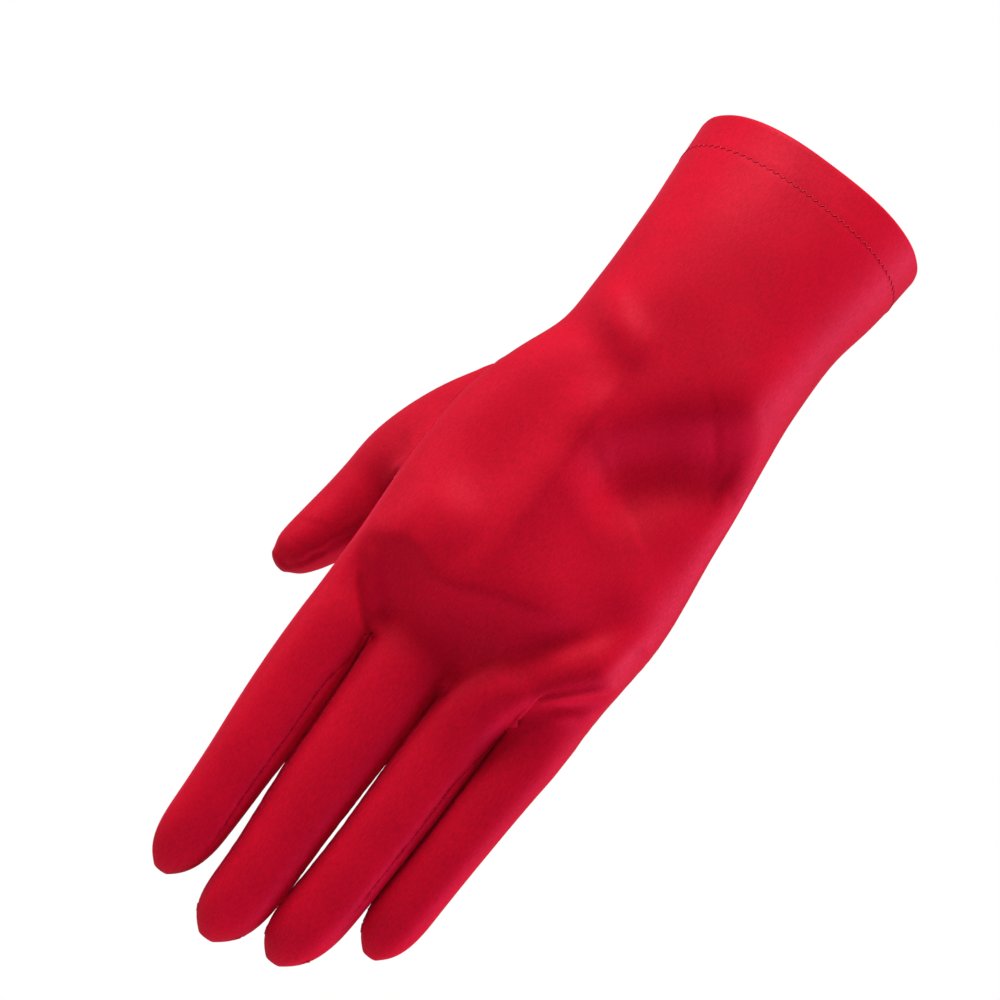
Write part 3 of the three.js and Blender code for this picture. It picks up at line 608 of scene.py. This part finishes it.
def build_hand(bm, pattern):
    """Rings from the rim to the crotches. Returns the ring at the crotches and the thumb window's ring."""
    shape = pattern.shape
    stops = (
        (0.0, HEM_BANDS, shape.hem_width),
        (shape.hem_width, CUFF_BANDS, shape.wrist_drop),
        (shape.wrist_drop, WRIST_BANDS, shape.thumb_seam_drop),
        (shape.thumb_seam_drop, WINDOW_BANDS, shape.thumb_seam_drop + shape.thumb_seam_length),
        (shape.thumb_seam_drop + shape.thumb_seam_length, KNUCKLE_BANDS, shape.crotch_drop),
    )
    drops = [mix(low, high, i / count) for low, count, high in stops for i in range(count)]
    drops.append(shape.crotch_drop)
    girth = 2 * (shape.hand_breadth + shape.hand_depth)
    ring = bmesh.ops.create_circle(
        bm, segments=AROUND, radius=shape.rim_breadth / 2, cap_ends=False)["verts"]
    for k, vert in enumerate(ring):
        vert.co = pattern.hand_point(k, 0.0)
    rings = [ring]
    for row in range(1, len(drops)):
        piece = HEM if row <= HEM_BANDS else HAND
        places = [pattern.hand_point(k, drops[row]) for k in range(AROUND)]
        ring = extrude_ring(bm, ring, places, lambda k: piece, drops[row - 1:row + 1], girth)
        rings.append(ring)
    top = HEM_BANDS + CUFF_BANDS + WRIST_BANDS
    bottom = top + WINDOW_BANDS
    left = AROUND - SIDE // 2
    palm = left - WINDOW_COLUMNS
    covered = {rings[row][k] for row in range(top, bottom + 1) for k in range(palm, left + 1)}
    inside = [f for f in bm.faces if covered.issuperset(f.verts)]
    window = [rings[top][k] for k in range(palm, left)]
    window += [rings[row][left] for row in range(top, bottom)]
    window += [rings[bottom][k] for k in range(left, palm, -1)]
    window += [rings[row][palm] for row in range(bottom, top, -1)]
    bmesh.ops.delete(bm, geom=inside, context="FACES")
    side_column = BACK + SIDE - 1
    seam_line(bm, [r[side_column] for r in rings[HEM_BANDS:]])
    return rings[-1], window


def build_webs(bm, pattern, crotch):
    """Between each two fingers, a row of edges from the back to the palm that dips in its middle."""
    webs = []
    for i in range(1, len(pattern.fingers)):
        back, palm = crotch[i * SPAN], crotch[2 * BACK + SIDE - i * SPAN]
        web = [back]
        for k in range(1, SIDE):
            vert = bmesh.ops.extrude_vert_indiv(bm, verts=web[-1:])["verts"][0]
            vert.co = back.co.lerp(palm.co, k / SIDE)
            vert.co.z -= pattern.shape.crotch_dip * math.sin(math.pi * k / SIDE)
            web.append(vert)
        bm.edges.new((web[-1], palm))
        webs.append([*web, palm])
    return webs


def build_fingers(bm, pattern, crotch, webs):
    """Rings down each finger to its capped tip, with the fourchettes as the sides between two fingers."""
    shape = pattern.shape
    for i, finger in enumerate(pattern.fingers):
        left = webs[i - 1] if i else None
        right = webs[i] if i < len(webs) else None
        start = i * SPAN
        palm_start = 2 * BACK + SIDE - start - SPAN
        ring = [crotch[start + k] for k in range(SPAN)]
        ring += [right[k] if right else crotch[BACK + k] for k in range(SIDE)]
        ring += [crotch[palm_start + k] for k in range(SPAN)]
        ring += [left[SIDE - k] if left else crotch[(2 * BACK + SIDE + k) % AROUND] for k in range(SIDE)]
        deepest = min(v.co.z for v in ring)
        first = (finger["rise"] - shape.crotch_drop - deepest + FIRST_RING_DROP) / finger["length"]
        body_end = 1 - shape.tip_length / finger["length"]
        stations = [(mix(first, body_end, r / (FINGER_BANDS - 1)), 1.0) for r in range(FINGER_BANDS)]
        for r in range(1, TIP_BANDS + 1):
            turn = r / (TIP_BANDS + 0.7) * math.pi / 2
            stations.append((mix(body_end, 1, math.sin(turn)), math.cos(turn)))
        girth = 4 * finger["depth"]
        before = 0.0
        tip_seams = {SPAN + SIDE // 2: [], 2 * SPAN + SIDE + SIDE // 2: []}
        for r, (along, full) in enumerate(stations):
            tip = r >= len(stations) - TIP_BANDS + 2

            def piece_at(k):
                on_right = SPAN <= k < SPAN + SIDE
                on_left = k >= 2 * SPAN + SIDE
                if on_right and right and not tip:
                    return FIRST_FOURCHETTE + i
                if on_left and left and not tip:
                    return FIRST_FOURCHETTE + i - 1
                return HAND

            low = shape.crotch_drop + along * finger["length"]
            high = shape.crotch_drop + before * finger["length"]
            places = pattern.finger_ring(finger, along, full)
            ring = extrude_ring(bm, ring, places, piece_at, (high, low), girth)
            before = along
            for k, line in tip_seams.items():
                if r >= len(stations) - TIP_BANDS + 1:
                    line.append(ring[k])
        if not right:
            tip_seams[SPAN + SIDE // 2] = []
        tip = pattern.finger_line(finger, 1)[0]
        ends = {k: ring[k] for k in tip_seams}
        faces = cap_ring(bm, ring, SPAN, tip, HAND, shape.crotch_drop + finger["length"])
        for line in tip_seams.values():
            seam_line(bm, line)
        mark_cap_seam(bm, faces, ends[SPAN + SIDE // 2], ends[2 * SPAN + SIDE + SIDE // 2])


def mark_cap_seam(bm, faces, start, end):
    """Marks the row of edges that runs straight across a tip's grid from one side to the other."""
    edges = {e for f in faces for e in f.edges}
    at, line = start, [start]
    aim = (end.co - start.co).normalized()
    while at is not end and len(line) < 40:
        steps = [e.other_vert(at) for e in at.link_edges if e in edges and e.other_vert(at) not in line]
        at = max(steps, key=lambda v: (v.co - at.co).normalized().dot(aim))
        line.append(at)
    seam_line(bm, line)


def build_thumb(bm, pattern, window):
    """Rings of the thumb: the root rings curve from the window's edge to where the thumb hangs free."""
    count = len(window)
    forward = pattern.thumb_forward(0)
    free = pattern.thumb_ring(0, count)
    starts = [v.co.copy() for v in window]
    girth = math.pi * pattern.shape.thumb_breadth
    rings = []
    for r in range(1, THUMB_ROOT_BANDS + 1):
        t = r / (THUMB_ROOT_BANDS + 1)
        places = []
        for start, end in zip(starts, free):
            control = end - forward * THUMB_LEAVE * (end - start).length + Vector((-THUMB_SWELL, 0, 0))
            places.append(start * (1 - t) ** 2 + control * 2 * t * (1 - t) + end * t * t)
        rings.append((places, r * THUMB_ROOT_STEP))
    rows = len(THUMB) - 1
    last = rows - 0.75
    for r in range(THUMB_BANDS + 1):
        at = last * r / THUMB_BANDS
        along = THUMB_ROOT_BANDS * THUMB_ROOT_STEP + at / last * THUMB_FREE_LENGTH
        rings.append((pattern.thumb_ring(at, count), along))
    ring, before, line = window, 0.0, []
    for places, along in rings:
        ring = extrude_ring(bm, ring, places, lambda k: THUMB_PIECE, (before, along), girth)
        line.append(ring[THUMB_SEAM_COLUMN])
        before = along
    seam_line(bm, line[THUMB_ROOT_BANDS + 2:])
    tip = pattern.thumb_place(rows)[0]
    cap_ring(bm, ring, count // 4, tip, THUMB_PIECE, before)


def fine_surface(pattern):
    """The glove's whole outer surface as one fine bmesh, with each face's piece as its material."""
    bm = bmesh.new()
    crotch, window = build_hand(bm, pattern)
    webs = build_webs(bm, pattern, crotch)
    build_fingers(bm, pattern, crotch, webs)
    build_thumb(bm, pattern, window)
    bmesh.ops.recalc_face_normals(bm, faces=bm.faces)
    mesh = bpy.data.meshes.new("cage")
    bm.to_mesh(mesh)
    bm.free()
    cage = bpy.data.objects.new("cage", mesh)
    bpy.context.scene.collection.objects.link(cage)
    subdivision = cage.modifiers.new("smooth", "SUBSURF")
    subdivision.levels = subdivision.render_levels = 2
    bpy.context.view_layer.update()
    fine = bpy.data.meshes.new_from_object(cage.evaluated_get(bpy.context.evaluated_depsgraph_get()))
    surface = bmesh.new()
    surface.from_mesh(fine)
    bpy.data.objects.remove(cage)
    bpy.data.meshes.remove(fine)
    return surface


def is_seam(edge):
    """Whether two pieces meet at an edge, or one piece is sewn to itself there."""
    faces = edge.link_faces
    return edge.seam or len(faces) == 2 and faces[0].material_index != faces[1].material_index


def fold_push(flat, fold):
    """How far one fold moves each place: most on its line, less towards the line's ends."""
    push, left, right, end, *line = fold
    nearest = np.full(len(flat), np.inf)
    moved = np.zeros(len(flat))
    total = sum(math.dist(a, b) for a, b in zip(line, line[1:]))
    before = 0.0
    for a, b in zip(line, line[1:]):
        along = np.subtract(b, a)
        step = math.dist(a, b)
        share = np.clip((flat - a) @ along / (along @ along), 0, 1)
        off = flat - a - np.outer(share, along)
        away = np.hypot(off[:, 0], off[:, 1])
        width = np.where(along[0] * off[:, 1] > along[1] * off[:, 0], left, right)
        done = (before + share * step) / total
        grown = mix(0.1, 1, eased(np.clip(done / 0.3, 0, 1)))
        faded = mix(1, end, eased(np.clip((done - 0.7) / 0.3, 0, 1)))
        amount = np.exp(-(away / width) ** 2) * (grown * faded)
        closer = away < nearest
        moved[closer] = amount[closer]
        nearest[closer] = away[closer]
        before += step
    return push * moved


def seam_depth(place, tips):
    """How deep a seam lies, as a share: shallow at the hem and flat where a finger's tip rounds over."""
    if place.z > HEM_LINE:
        return HEM_DEPTH
    return smooth((min((place - tip).length for tip in tips) - TIP_FLAT) / TIP_FADE)


def shape_cloth(surface, tips):
    """Folds the cloth, draws it in at its seams and puckers it beside them, less near the fingers' tips."""
    surface.normal_update()
    layer = surface.verts.layers.float.new("seam_away")
    depths = surface.verts.layers.float.new("seam_depth")
    verts = list(surface.verts)
    places = np.array([v.co for v in verts]) / MM
    normals = np.array([v.normal for v in verts])
    push = sum(fold_push(places[:, (0, 2)], fold) for fold in FOLDS)
    push *= np.clip(-normals[:, 1] * 1.5 - 0.3, 0, 1)
    seams = [e for e in surface.edges if is_seam(e)]
    tree = kdtree.KDTree(3 * len(seams))
    for i, edge in enumerate(seams):
        a, b = edge.verts
        for k, place in enumerate((a.co, b.co, (a.co + b.co) / 2)):
            tree.insert(place, 3 * i + k)
    tree.balance()
    for vert, place, normal, out in zip(verts, places, normals, push):
        away = tree.find(vert.co)[2] / MM
        vert[layer] = away * MM
        deep = vert[depths] = seam_depth(vert.co, tips)
        pucker = noise.noise(Vector(place) / PUCKER_LENGTH) * PUCKER * math.exp(-away / PUCKER_REACH)
        drawn = DRAWN * math.exp(-(away / DRAWN_WIDTH) ** 2)
        drawn += SWELL * math.exp(-((away - SWELL_PLACE) / SWELL_WIDTH) ** 2)
        wave = noise.noise(Vector(place) / WAVE_LENGTH) * (WAVE if place[2] > WAVE_LINE else FINGER_WAVE)
        vert.co += Vector(normal) * (out + (pucker + drawn) * deep + wave) * MM
    surface.normal_update()


def roll_seams(bm, gap):
    """Rolls the cloth in at its edges, as seams sewn from inside do, with a small gap to the next piece."""
    for width in ROLL_WIDTHS:
        bmesh.ops.inset_region(
            bm, faces=bm.faces[:], use_boundary=True, thickness=width, use_even_offset=False)
    bm.normal_update()
    depths = bm.verts.layers.float["seam_depth"]
    for edge in bm.edges:
        edge.smooth = not edge.is_boundary
    border = {v for v in bm.verts if v.is_boundary}
    moves = []
    for vert in border:
        inner = [e.other_vert(vert) for e in vert.link_edges if e.other_vert(vert) not in border]
        if not inner:
            continue
        away = (inner[0].co - vert.co).normalized()
        roll = -vert.normal * vert[depths] * ROLL
        moves.append((vert, roll + away * gap * mix(0.05, 0.5, vert[depths])))
        moves.append((inner[0], roll * 0.33))
    for vert, move in moves:
        vert.co += move


def hem_band(bm, thickness):
    """Turns the hem's outside over at the rim into a doubled band with a rounded edge."""
    layer = bm.verts.layers.float["seam_away"]
    rim = [e for e in bm.edges if e.is_boundary and min(v[layer] for v in e.verts) > 4 * MM]
    start = {v for e in rim for v in e.verts}
    for edge in bm.edges:
        edge.smooth = not edge.is_boundary or edge in rim
    ways = {}
    for vert in start:
        below = next(e.other_vert(vert) for e in vert.link_edges if not e.is_boundary)
        ways[vert] = (vert.co.copy(), -vert.normal.copy(), (vert.co - below.co).normalized())
    steps = []
    half = thickness / 2
    for k in range(1, 7):
        turn = math.pi * k / 6
        steps.append((half * (1 - math.cos(turn)), half * math.sin(turn)))
    steps += [(thickness, -down * MM) for down in (2.0, 4.3, 6.6, 8.6, 10.3)]
    # The turned-in end laps under the hand's cloth
    steps += [(thickness * 0.9, -10.6 * MM), (thickness * 0.6, -10.6 * MM), (thickness * 0.55, -9.2 * MM)]
    edges = rim
    for inward, up in steps:
        grown, edges = extrude_edges(bm, edges, ways)
        ways = {grown[vert]: way for vert, way in ways.items()}
        for vert, (base, inside, rise) in ways.items():
            vert.co = base + inside * inward + rise * up
    bmesh.ops.bridge_loops(bm, edges=[e for e in bm.edges if e.is_boundary])
    bmesh.ops.recalc_face_normals(bm, faces=bm.faces)


def mesh_object(name, bm):
    mesh = bpy.data.meshes.new(name)
    bm.to_mesh(mesh)
    bm.free()
    mesh.shade_smooth()
    piece = bpy.data.objects.new(name, mesh)
    bpy.context.scene.collection.objects.link(piece)
    return piece


def cut_piece(surface, index, name, cloth):
    """Cuts one sewn piece out of the fine surface, and gives its cloth a thickness."""
    bm = surface.copy()
    bmesh.ops.delete(bm, geom=[f for f in bm.faces if f.material_index != index], context="FACES")
    for face in bm.faces:
        face.material_index = 0
    if index == HEM:
        hem_band(bm, cloth.hem_wall)
        return mesh_object(name, bm)
    roll_seams(bm, cloth.seam_gap)
    piece = mesh_object(name, bm)
    wall = piece.modifiers.new("wall", "SOLIDIFY")
    wall.thickness = cloth.wall
    wall.offset = -1
    return piece


def sort_key(place):
    """A place in whole microns, which sorts vertices and edges in the same order each run."""
    return tuple(round(c / MM, 3) for c in place)


def edge_key(edge):
    return sort_key(edge.verts[0].co + edge.verts[1].co)


def seam_chains(edges):
    """Walks seam edges into rows of vertices, in the same order each run."""
    left = dict.fromkeys(sorted(edges, key=edge_key))
    chains = []
    while left:
        edge = next(iter(left))
        del left[edge]
        chain = sorted(edge.verts, key=lambda v: sort_key(v.co))
        for _ in range(2):
            while True:
                step = min((e for e in chain[-1].link_edges if e in left), key=edge_key, default=None)
                if step is None:
                    break
                del left[step]
                chain.append(step.other_vert(chain[-1]))
            chain.reverse()
        chains.append(chain)
    return chains


def seam_stations(chain, pitch):
    """Evenly spaced places along a row of vertices, each with the seam's way and the cloth's normal."""
    done, wanted = 0.0, pitch / 2
    for a, b in zip(chain, chain[1:]):
        span = (b.co - a.co).length
        while span and wanted <= done + span:
            share = (wanted - done) / span
            normal = a.normal.lerp(b.normal, share).normalized()
            yield a.co.lerp(b.co, share), (b.co - a.co).normalized(), normal
            wanted += pitch
        done += span


def sew_stitches(name, places, cloth):
    """One mesh of thread: a short slim lens of twisted thread for each place, way and outward direction."""
    lens = bmesh.new()
    bmesh.ops.create_uvsphere(lens, u_segments=6, v_segments=5, radius=0.5)
    stitch = bpy.data.meshes.new("stitch")
    lens.to_mesh(stitch)
    lens.free()
    bm = bmesh.new()
    for place, way, out, length in places:
        side = way.cross(out).normalized()
        turn = Matrix((side, way.cross(side), way)).transposed().to_4x4()
        size = Matrix.Diagonal((cloth.thread, cloth.thread, length, 1))
        move = Matrix.Translation(place) @ turn @ size
        stitch.transform(move)
        bm.from_mesh(stitch)
        stitch.transform(move.inverted())
    bpy.data.meshes.remove(stitch)
    return mesh_object(name, bm)


def cross_stitches(chains, pitch, length, lift):
    """Short stitches that lie across a seam, a little aslant."""
    for chain in chains:
        for place, along, out in seam_stations(chain, pitch):
            way = (along.cross(out) + along * 0.35).normalized()
            yield place + out * lift, way, out, length


def zigzag_stitches(chains, pitch, length, lift):
    """A zigzag of two slanting stitches for each step along the hem."""
    for chain in chains:
        for i, (place, along, out) in enumerate(seam_stations(chain, pitch / 2)):
            slant = 1.0 if i % 2 else -1.0
            way = (along + along.cross(out) * slant).normalized()
            yield place + out * lift, way, out, length


def shaped_surface(shape):
    """The glove's outer surface with its folds and seams."""
    pattern = Pattern(shape)
    surface = fine_surface(pattern)
    shape_cloth(surface, [pattern.finger_line(finger, 1)[0] for finger in pattern.fingers])
    return surface


class GLOVE_OT_cloth(bpy.types.Operator):
    """Shapes the satin and cuts it into its sewn pieces"""

    bl_idname = "glove.cloth"
    bl_label = "Cut the cloth"

    def execute(self, context):
        cloth = context.scene.glove_cloth
        surface = shaped_surface(context.scene.glove_shape)
        for index, (name, slot, *_) in enumerate(PIECES):
            piece = cut_piece(surface, index, "satin_" + name, cloth)
            piece.data.materials.append(satin_material(cloth))
            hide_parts(name)
            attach(piece, "root")
        surface.free()
        return {"FINISHED"}


class GLOVE_OT_stitches(bpy.types.Operator):
    """Sews the stitches along the seams and the hem"""

    bl_idname = "glove.stitches"
    bl_label = "Sew the stitches"

    def execute(self, context):
        cloth = context.scene.glove_cloth
        surface = shaped_surface(context.scene.glove_shape)
        seams = [e for e in surface.edges if is_seam(e)]
        hem = [e for e in seams if any(f.material_index == HEM for f in e.link_faces)]
        others = [e for e in seams if all(f.material_index != HEM for f in e.link_faces)]
        threads = {
            "hem": zigzag_stitches(seam_chains(hem), 1.9 * MM, 1.35 * MM, 0.06 * MM),
            "satin": cross_stitches(seam_chains(others), 1.8 * MM, 0.8 * MM, -0.1 * MM),
        }
        for slot, places in threads.items():
            thread = sew_stitches("thread_" + slot, places, cloth)
            thread.data.materials.append(thread_material(cloth))
            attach(thread, "root")
        surface.free()
        return {"FINISHED"}


def add_node(tree, kind, inputs=None, links=None, **settings):
    """Adds a shader node with its settings, its input values and its links from other sockets."""
    node = tree.nodes.new(kind)
    for key, value in settings.items():
        setattr(node, key, value)
    for key, value in (inputs or {}).items():
        node.inputs[key].default_value = value
    for key, socket in (links or {}).items():
        tree.links.new(socket, node.inputs[key])
    return node


def new_material(name):
    material = bpy.data.materials.new(name)
    material.use_nodes = True
    tree = material.node_tree
    tree.nodes.clear()
    return material, tree


def close_tree(tree, shader):
    output = add_node(tree, "ShaderNodeOutputMaterial")
    tree.links.new(shader.outputs["BSDF"], output.inputs["Surface"])


def satin_material(cloth):
    """Warp knitted polyester satin with elastane: a soft broad gloss over a fine grain of yarns."""
    name = "red_stretch_satin"
    if name in bpy.data.materials:
        return bpy.data.materials[name]
    material, tree = new_material(name)
    uv = add_node(tree, "ShaderNodeUVMap")
    place = add_node(tree, "ShaderNodeTexCoord")
    # Yarns: streaks down the glove, 0.4 mm apart and some 2 mm long, coarser than real ones so that they show
    stretch = add_node(tree, "ShaderNodeMapping", {"Scale": (1 / (0.4 * MM), 1 / (2.0 * MM), 1)},
                       {"Vector": uv.outputs["UV"]})
    yarns = add_node(tree, "ShaderNodeTexNoise", {"Scale": 1.0, "Detail": 2.0, "Roughness": 0.65},
                     {"Vector": stretch.outputs["Vector"]})
    # Grain: the even speckle of the knit's loops
    grain = add_node(tree, "ShaderNodeTexNoise", {"Scale": 1 / (0.7 * MM), "Detail": 3.0, "Roughness": 0.7},
                     {"Vector": place.outputs["Object"]})
    patches = add_node(tree, "ShaderNodeTexNoise", {"Scale": 1 / (11 * MM), "Detail": 2.0},
                       {"Vector": place.outputs["Object"]})
    knit = add_node(tree, "ShaderNodeMath", {}, {0: yarns.outputs["Fac"], 1: grain.outputs["Fac"]},
                    operation="ADD")
    total = add_node(tree, "ShaderNodeMath", {1: 0.5},
                     {0: patches.outputs["Fac"], 2: knit.outputs["Value"]}, operation="MULTIPLY_ADD")
    share = add_node(tree, "ShaderNodeMapRange", {"From Min": 0.95, "From Max": 1.55},
                     {"Value": total.outputs["Value"]})
    colour = add_node(tree, "ShaderNodeMix", {6: (*cloth.satin_shade, 1), 7: (*cloth.satin, 1)},
                      {0: share.outputs["Result"]}, data_type="RGBA")
    rough = add_node(tree, "ShaderNodeMapRange", {"To Min": 0.58, "To Max": 0.5},
                     {"Value": share.outputs["Result"]})
    bump = add_node(tree, "ShaderNodeBump", {"Strength": 0.5, "Distance": 0.06 * MM},
                    {"Height": knit.outputs["Value"]})
    shader = add_node(tree, "ShaderNodeBsdfPrincipled", {
        "Specular IOR Level": 0.22,
        "Specular Tint": (1.0, 0.1, 0.2, 1),
        "Sheen Weight": 0.4,
        "Sheen Roughness": 0.35,
        "Sheen Tint": (1.0, 0.04, 0.13, 1),
    }, {
        "Base Color": colour.outputs[2],
        "Roughness": rough.outputs["Result"],
        "Normal": bump.outputs["Normal"],
    })
    close_tree(tree, shader)
    return material


def thread_material(cloth):
    """Polyester sewing thread: the satin's red, duller, with the ply's twist as fine slanting ribs."""
    name = "red_thread"
    if name in bpy.data.materials:
        return bpy.data.materials[name]
    material, tree = new_material(name)
    place = add_node(tree, "ShaderNodeTexCoord")
    twist = add_node(tree, "ShaderNodeTexNoise", {"Scale": 1 / (0.15 * MM), "Detail": 1.0},
                     {"Vector": place.outputs["Object"]})
    colour = add_node(tree, "ShaderNodeMix", {6: (*cloth.satin_shade, 1), 7: (*cloth.thread_colour, 1)},
                      {0: twist.outputs["Fac"]}, data_type="RGBA")
    bump = add_node(tree, "ShaderNodeBump", {"Strength": 0.5, "Distance": 0.03 * MM},
                    {"Height": twist.outputs["Fac"]})
    shader = add_node(tree, "ShaderNodeBsdfPrincipled", {
        "Roughness": 0.5,
        "Specular Tint": (1.0, 0.3, 0.4, 1),
        "Sheen Weight": 0.4,
        "Sheen Tint": (1.0, 0.1, 0.2, 1),
    }, {"Base Color": colour.outputs[2], "Normal": bump.outputs["Normal"]})
    close_tree(tree, shader)
    return material


class GLOVE_OT_stage(bpy.types.Operator):
    """Sets the pale floor, the soft lights and the camera"""

    bl_idname = "glove.stage"
    bl_label = "Set the stage"

    def execute(self, context):
        build_floor()
        build_lights()
        build_camera()
        return {"FINISHED"}


def build_floor():
    """A pale floor, low enough that it throws little light up on the cloth."""
    bm = bmesh.new()
    bmesh.ops.create_circle(bm, cap_ends=True, segments=64, radius=FLOOR_RADIUS)
    bmesh.ops.translate(bm, verts=bm.verts, vec=(0, 0, FLOOR_HEIGHT))
    floor = mesh_object("floor", bm)
    material = bpy.data.materials.new("pale_floor")
    material.use_nodes = True
    shader = material.node_tree.nodes["Principled BSDF"]
    shader.inputs["Base Color"].default_value = (0.7, 0.7, 0.7, 1)
    shader.inputs["Roughness"].default_value = 0.7
    floor.data.materials.append(material)


def area_light(name, size, power, place, aim, colour):
    light = bpy.data.lights.new(name, "AREA")
    light.size = size
    light.energy = power
    light.color = colour
    lamp = bpy.data.objects.new(name, light)
    lamp.location = place
    lamp.rotation_mode = "QUATERNION"
    lamp.rotation_quaternion = (Vector(aim) - Vector(place)).to_track_quat("-Z", "Y")
    bpy.context.scene.collection.objects.link(lamp)


def build_lights():
    """Soft lights, and a world that is dim as light but pure white behind the glove."""
    for light in LIGHTS:
        area_light(*light)
    world = bpy.context.scene.world or bpy.data.worlds.new("studio")
    bpy.context.scene.world = world
    world.use_nodes = True
    tree = world.node_tree
    tree.nodes.clear()
    rays = add_node(tree, "ShaderNodeLightPath")
    around = add_node(tree, "ShaderNodeBackground", {"Color": (1, 1, 1, 1), "Strength": 0.22})
    seen = add_node(tree, "ShaderNodeBackground", {"Color": (1, 1, 1, 1), "Strength": 1.0})
    both = add_node(tree, "ShaderNodeMixShader", {}, {
        0: rays.outputs["Is Camera Ray"], 1: around.outputs["Background"], 2: seen.outputs["Background"]})
    bpy.context.scene.view_settings.view_transform = "Standard"
    output = add_node(tree, "ShaderNodeOutputWorld")
    tree.links.new(both.outputs["Shader"], output.inputs["Surface"])


def build_camera():
    """The photograph's view: straight at the back of the hand, a little from below, rolled to its slant."""
    target = Vector((-16.4, -10, -105.2)) * MM
    below = math.radians(10)
    distance = 1.2
    camera = bpy.data.cameras.new("camera")
    camera.sensor_width = 36
    camera.lens = 181.9
    view = bpy.data.objects.new("camera", camera)
    back = Vector((0, -math.cos(below), -math.sin(below)))
    view.location = target + back * distance
    roll = Matrix.Rotation(math.radians(37), 4, "Z")
    level = (-back).to_track_quat("-Z", "Y").to_matrix().to_4x4()
    view.rotation_mode = "QUATERNION"
    view.rotation_quaternion = (level @ roll).to_quaternion()
    bpy.context.scene.collection.objects.link(view)
    bpy.context.scene.camera = view


class GLOVE_PT_panel(bpy.types.Panel):
    """Lists the glove's sizes and cloth, and the steps that make it"""

    bl_idname = "GLOVE_PT_panel"
    bl_label = "Dress Glove"
    bl_space_type = "VIEW_3D"
    bl_region_type = "UI"
    bl_category = "Dress Glove"

    def draw(self, context):
        for group in (context.scene.glove_shape, context.scene.glove_cloth):
            box = self.layout.box()
            for name in group.__annotations__:
                box.prop(group, name)
        for operator in (GLOVE_OT_cloth, GLOVE_OT_stitches, GLOVE_OT_stage):
            self.layout.operator(operator.bl_idname)


CLASSES = (GloveShape, GloveCloth, GLOVE_OT_cloth, GLOVE_OT_stitches, GLOVE_OT_stage, GLOVE_PT_panel)


def register():
    for cls in CLASSES:
        bpy.utils.register_class(cls)
    bpy.types.Scene.glove_shape = bpy.props.PointerProperty(type=GloveShape)
    bpy.types.Scene.glove_cloth = bpy.props.PointerProperty(type=GloveCloth)


def unregister():
    del bpy.types.Scene.glove_cloth
    del bpy.types.Scene.glove_shape
    for cls in reversed(CLASSES):
        bpy.utils.unregister_class(cls)


def main():
    register()
    bpy.ops.glove.cloth()
    bpy.ops.glove.stitches()
    bpy.ops.glove.stage()


if __name__ == "__main__":
    main()
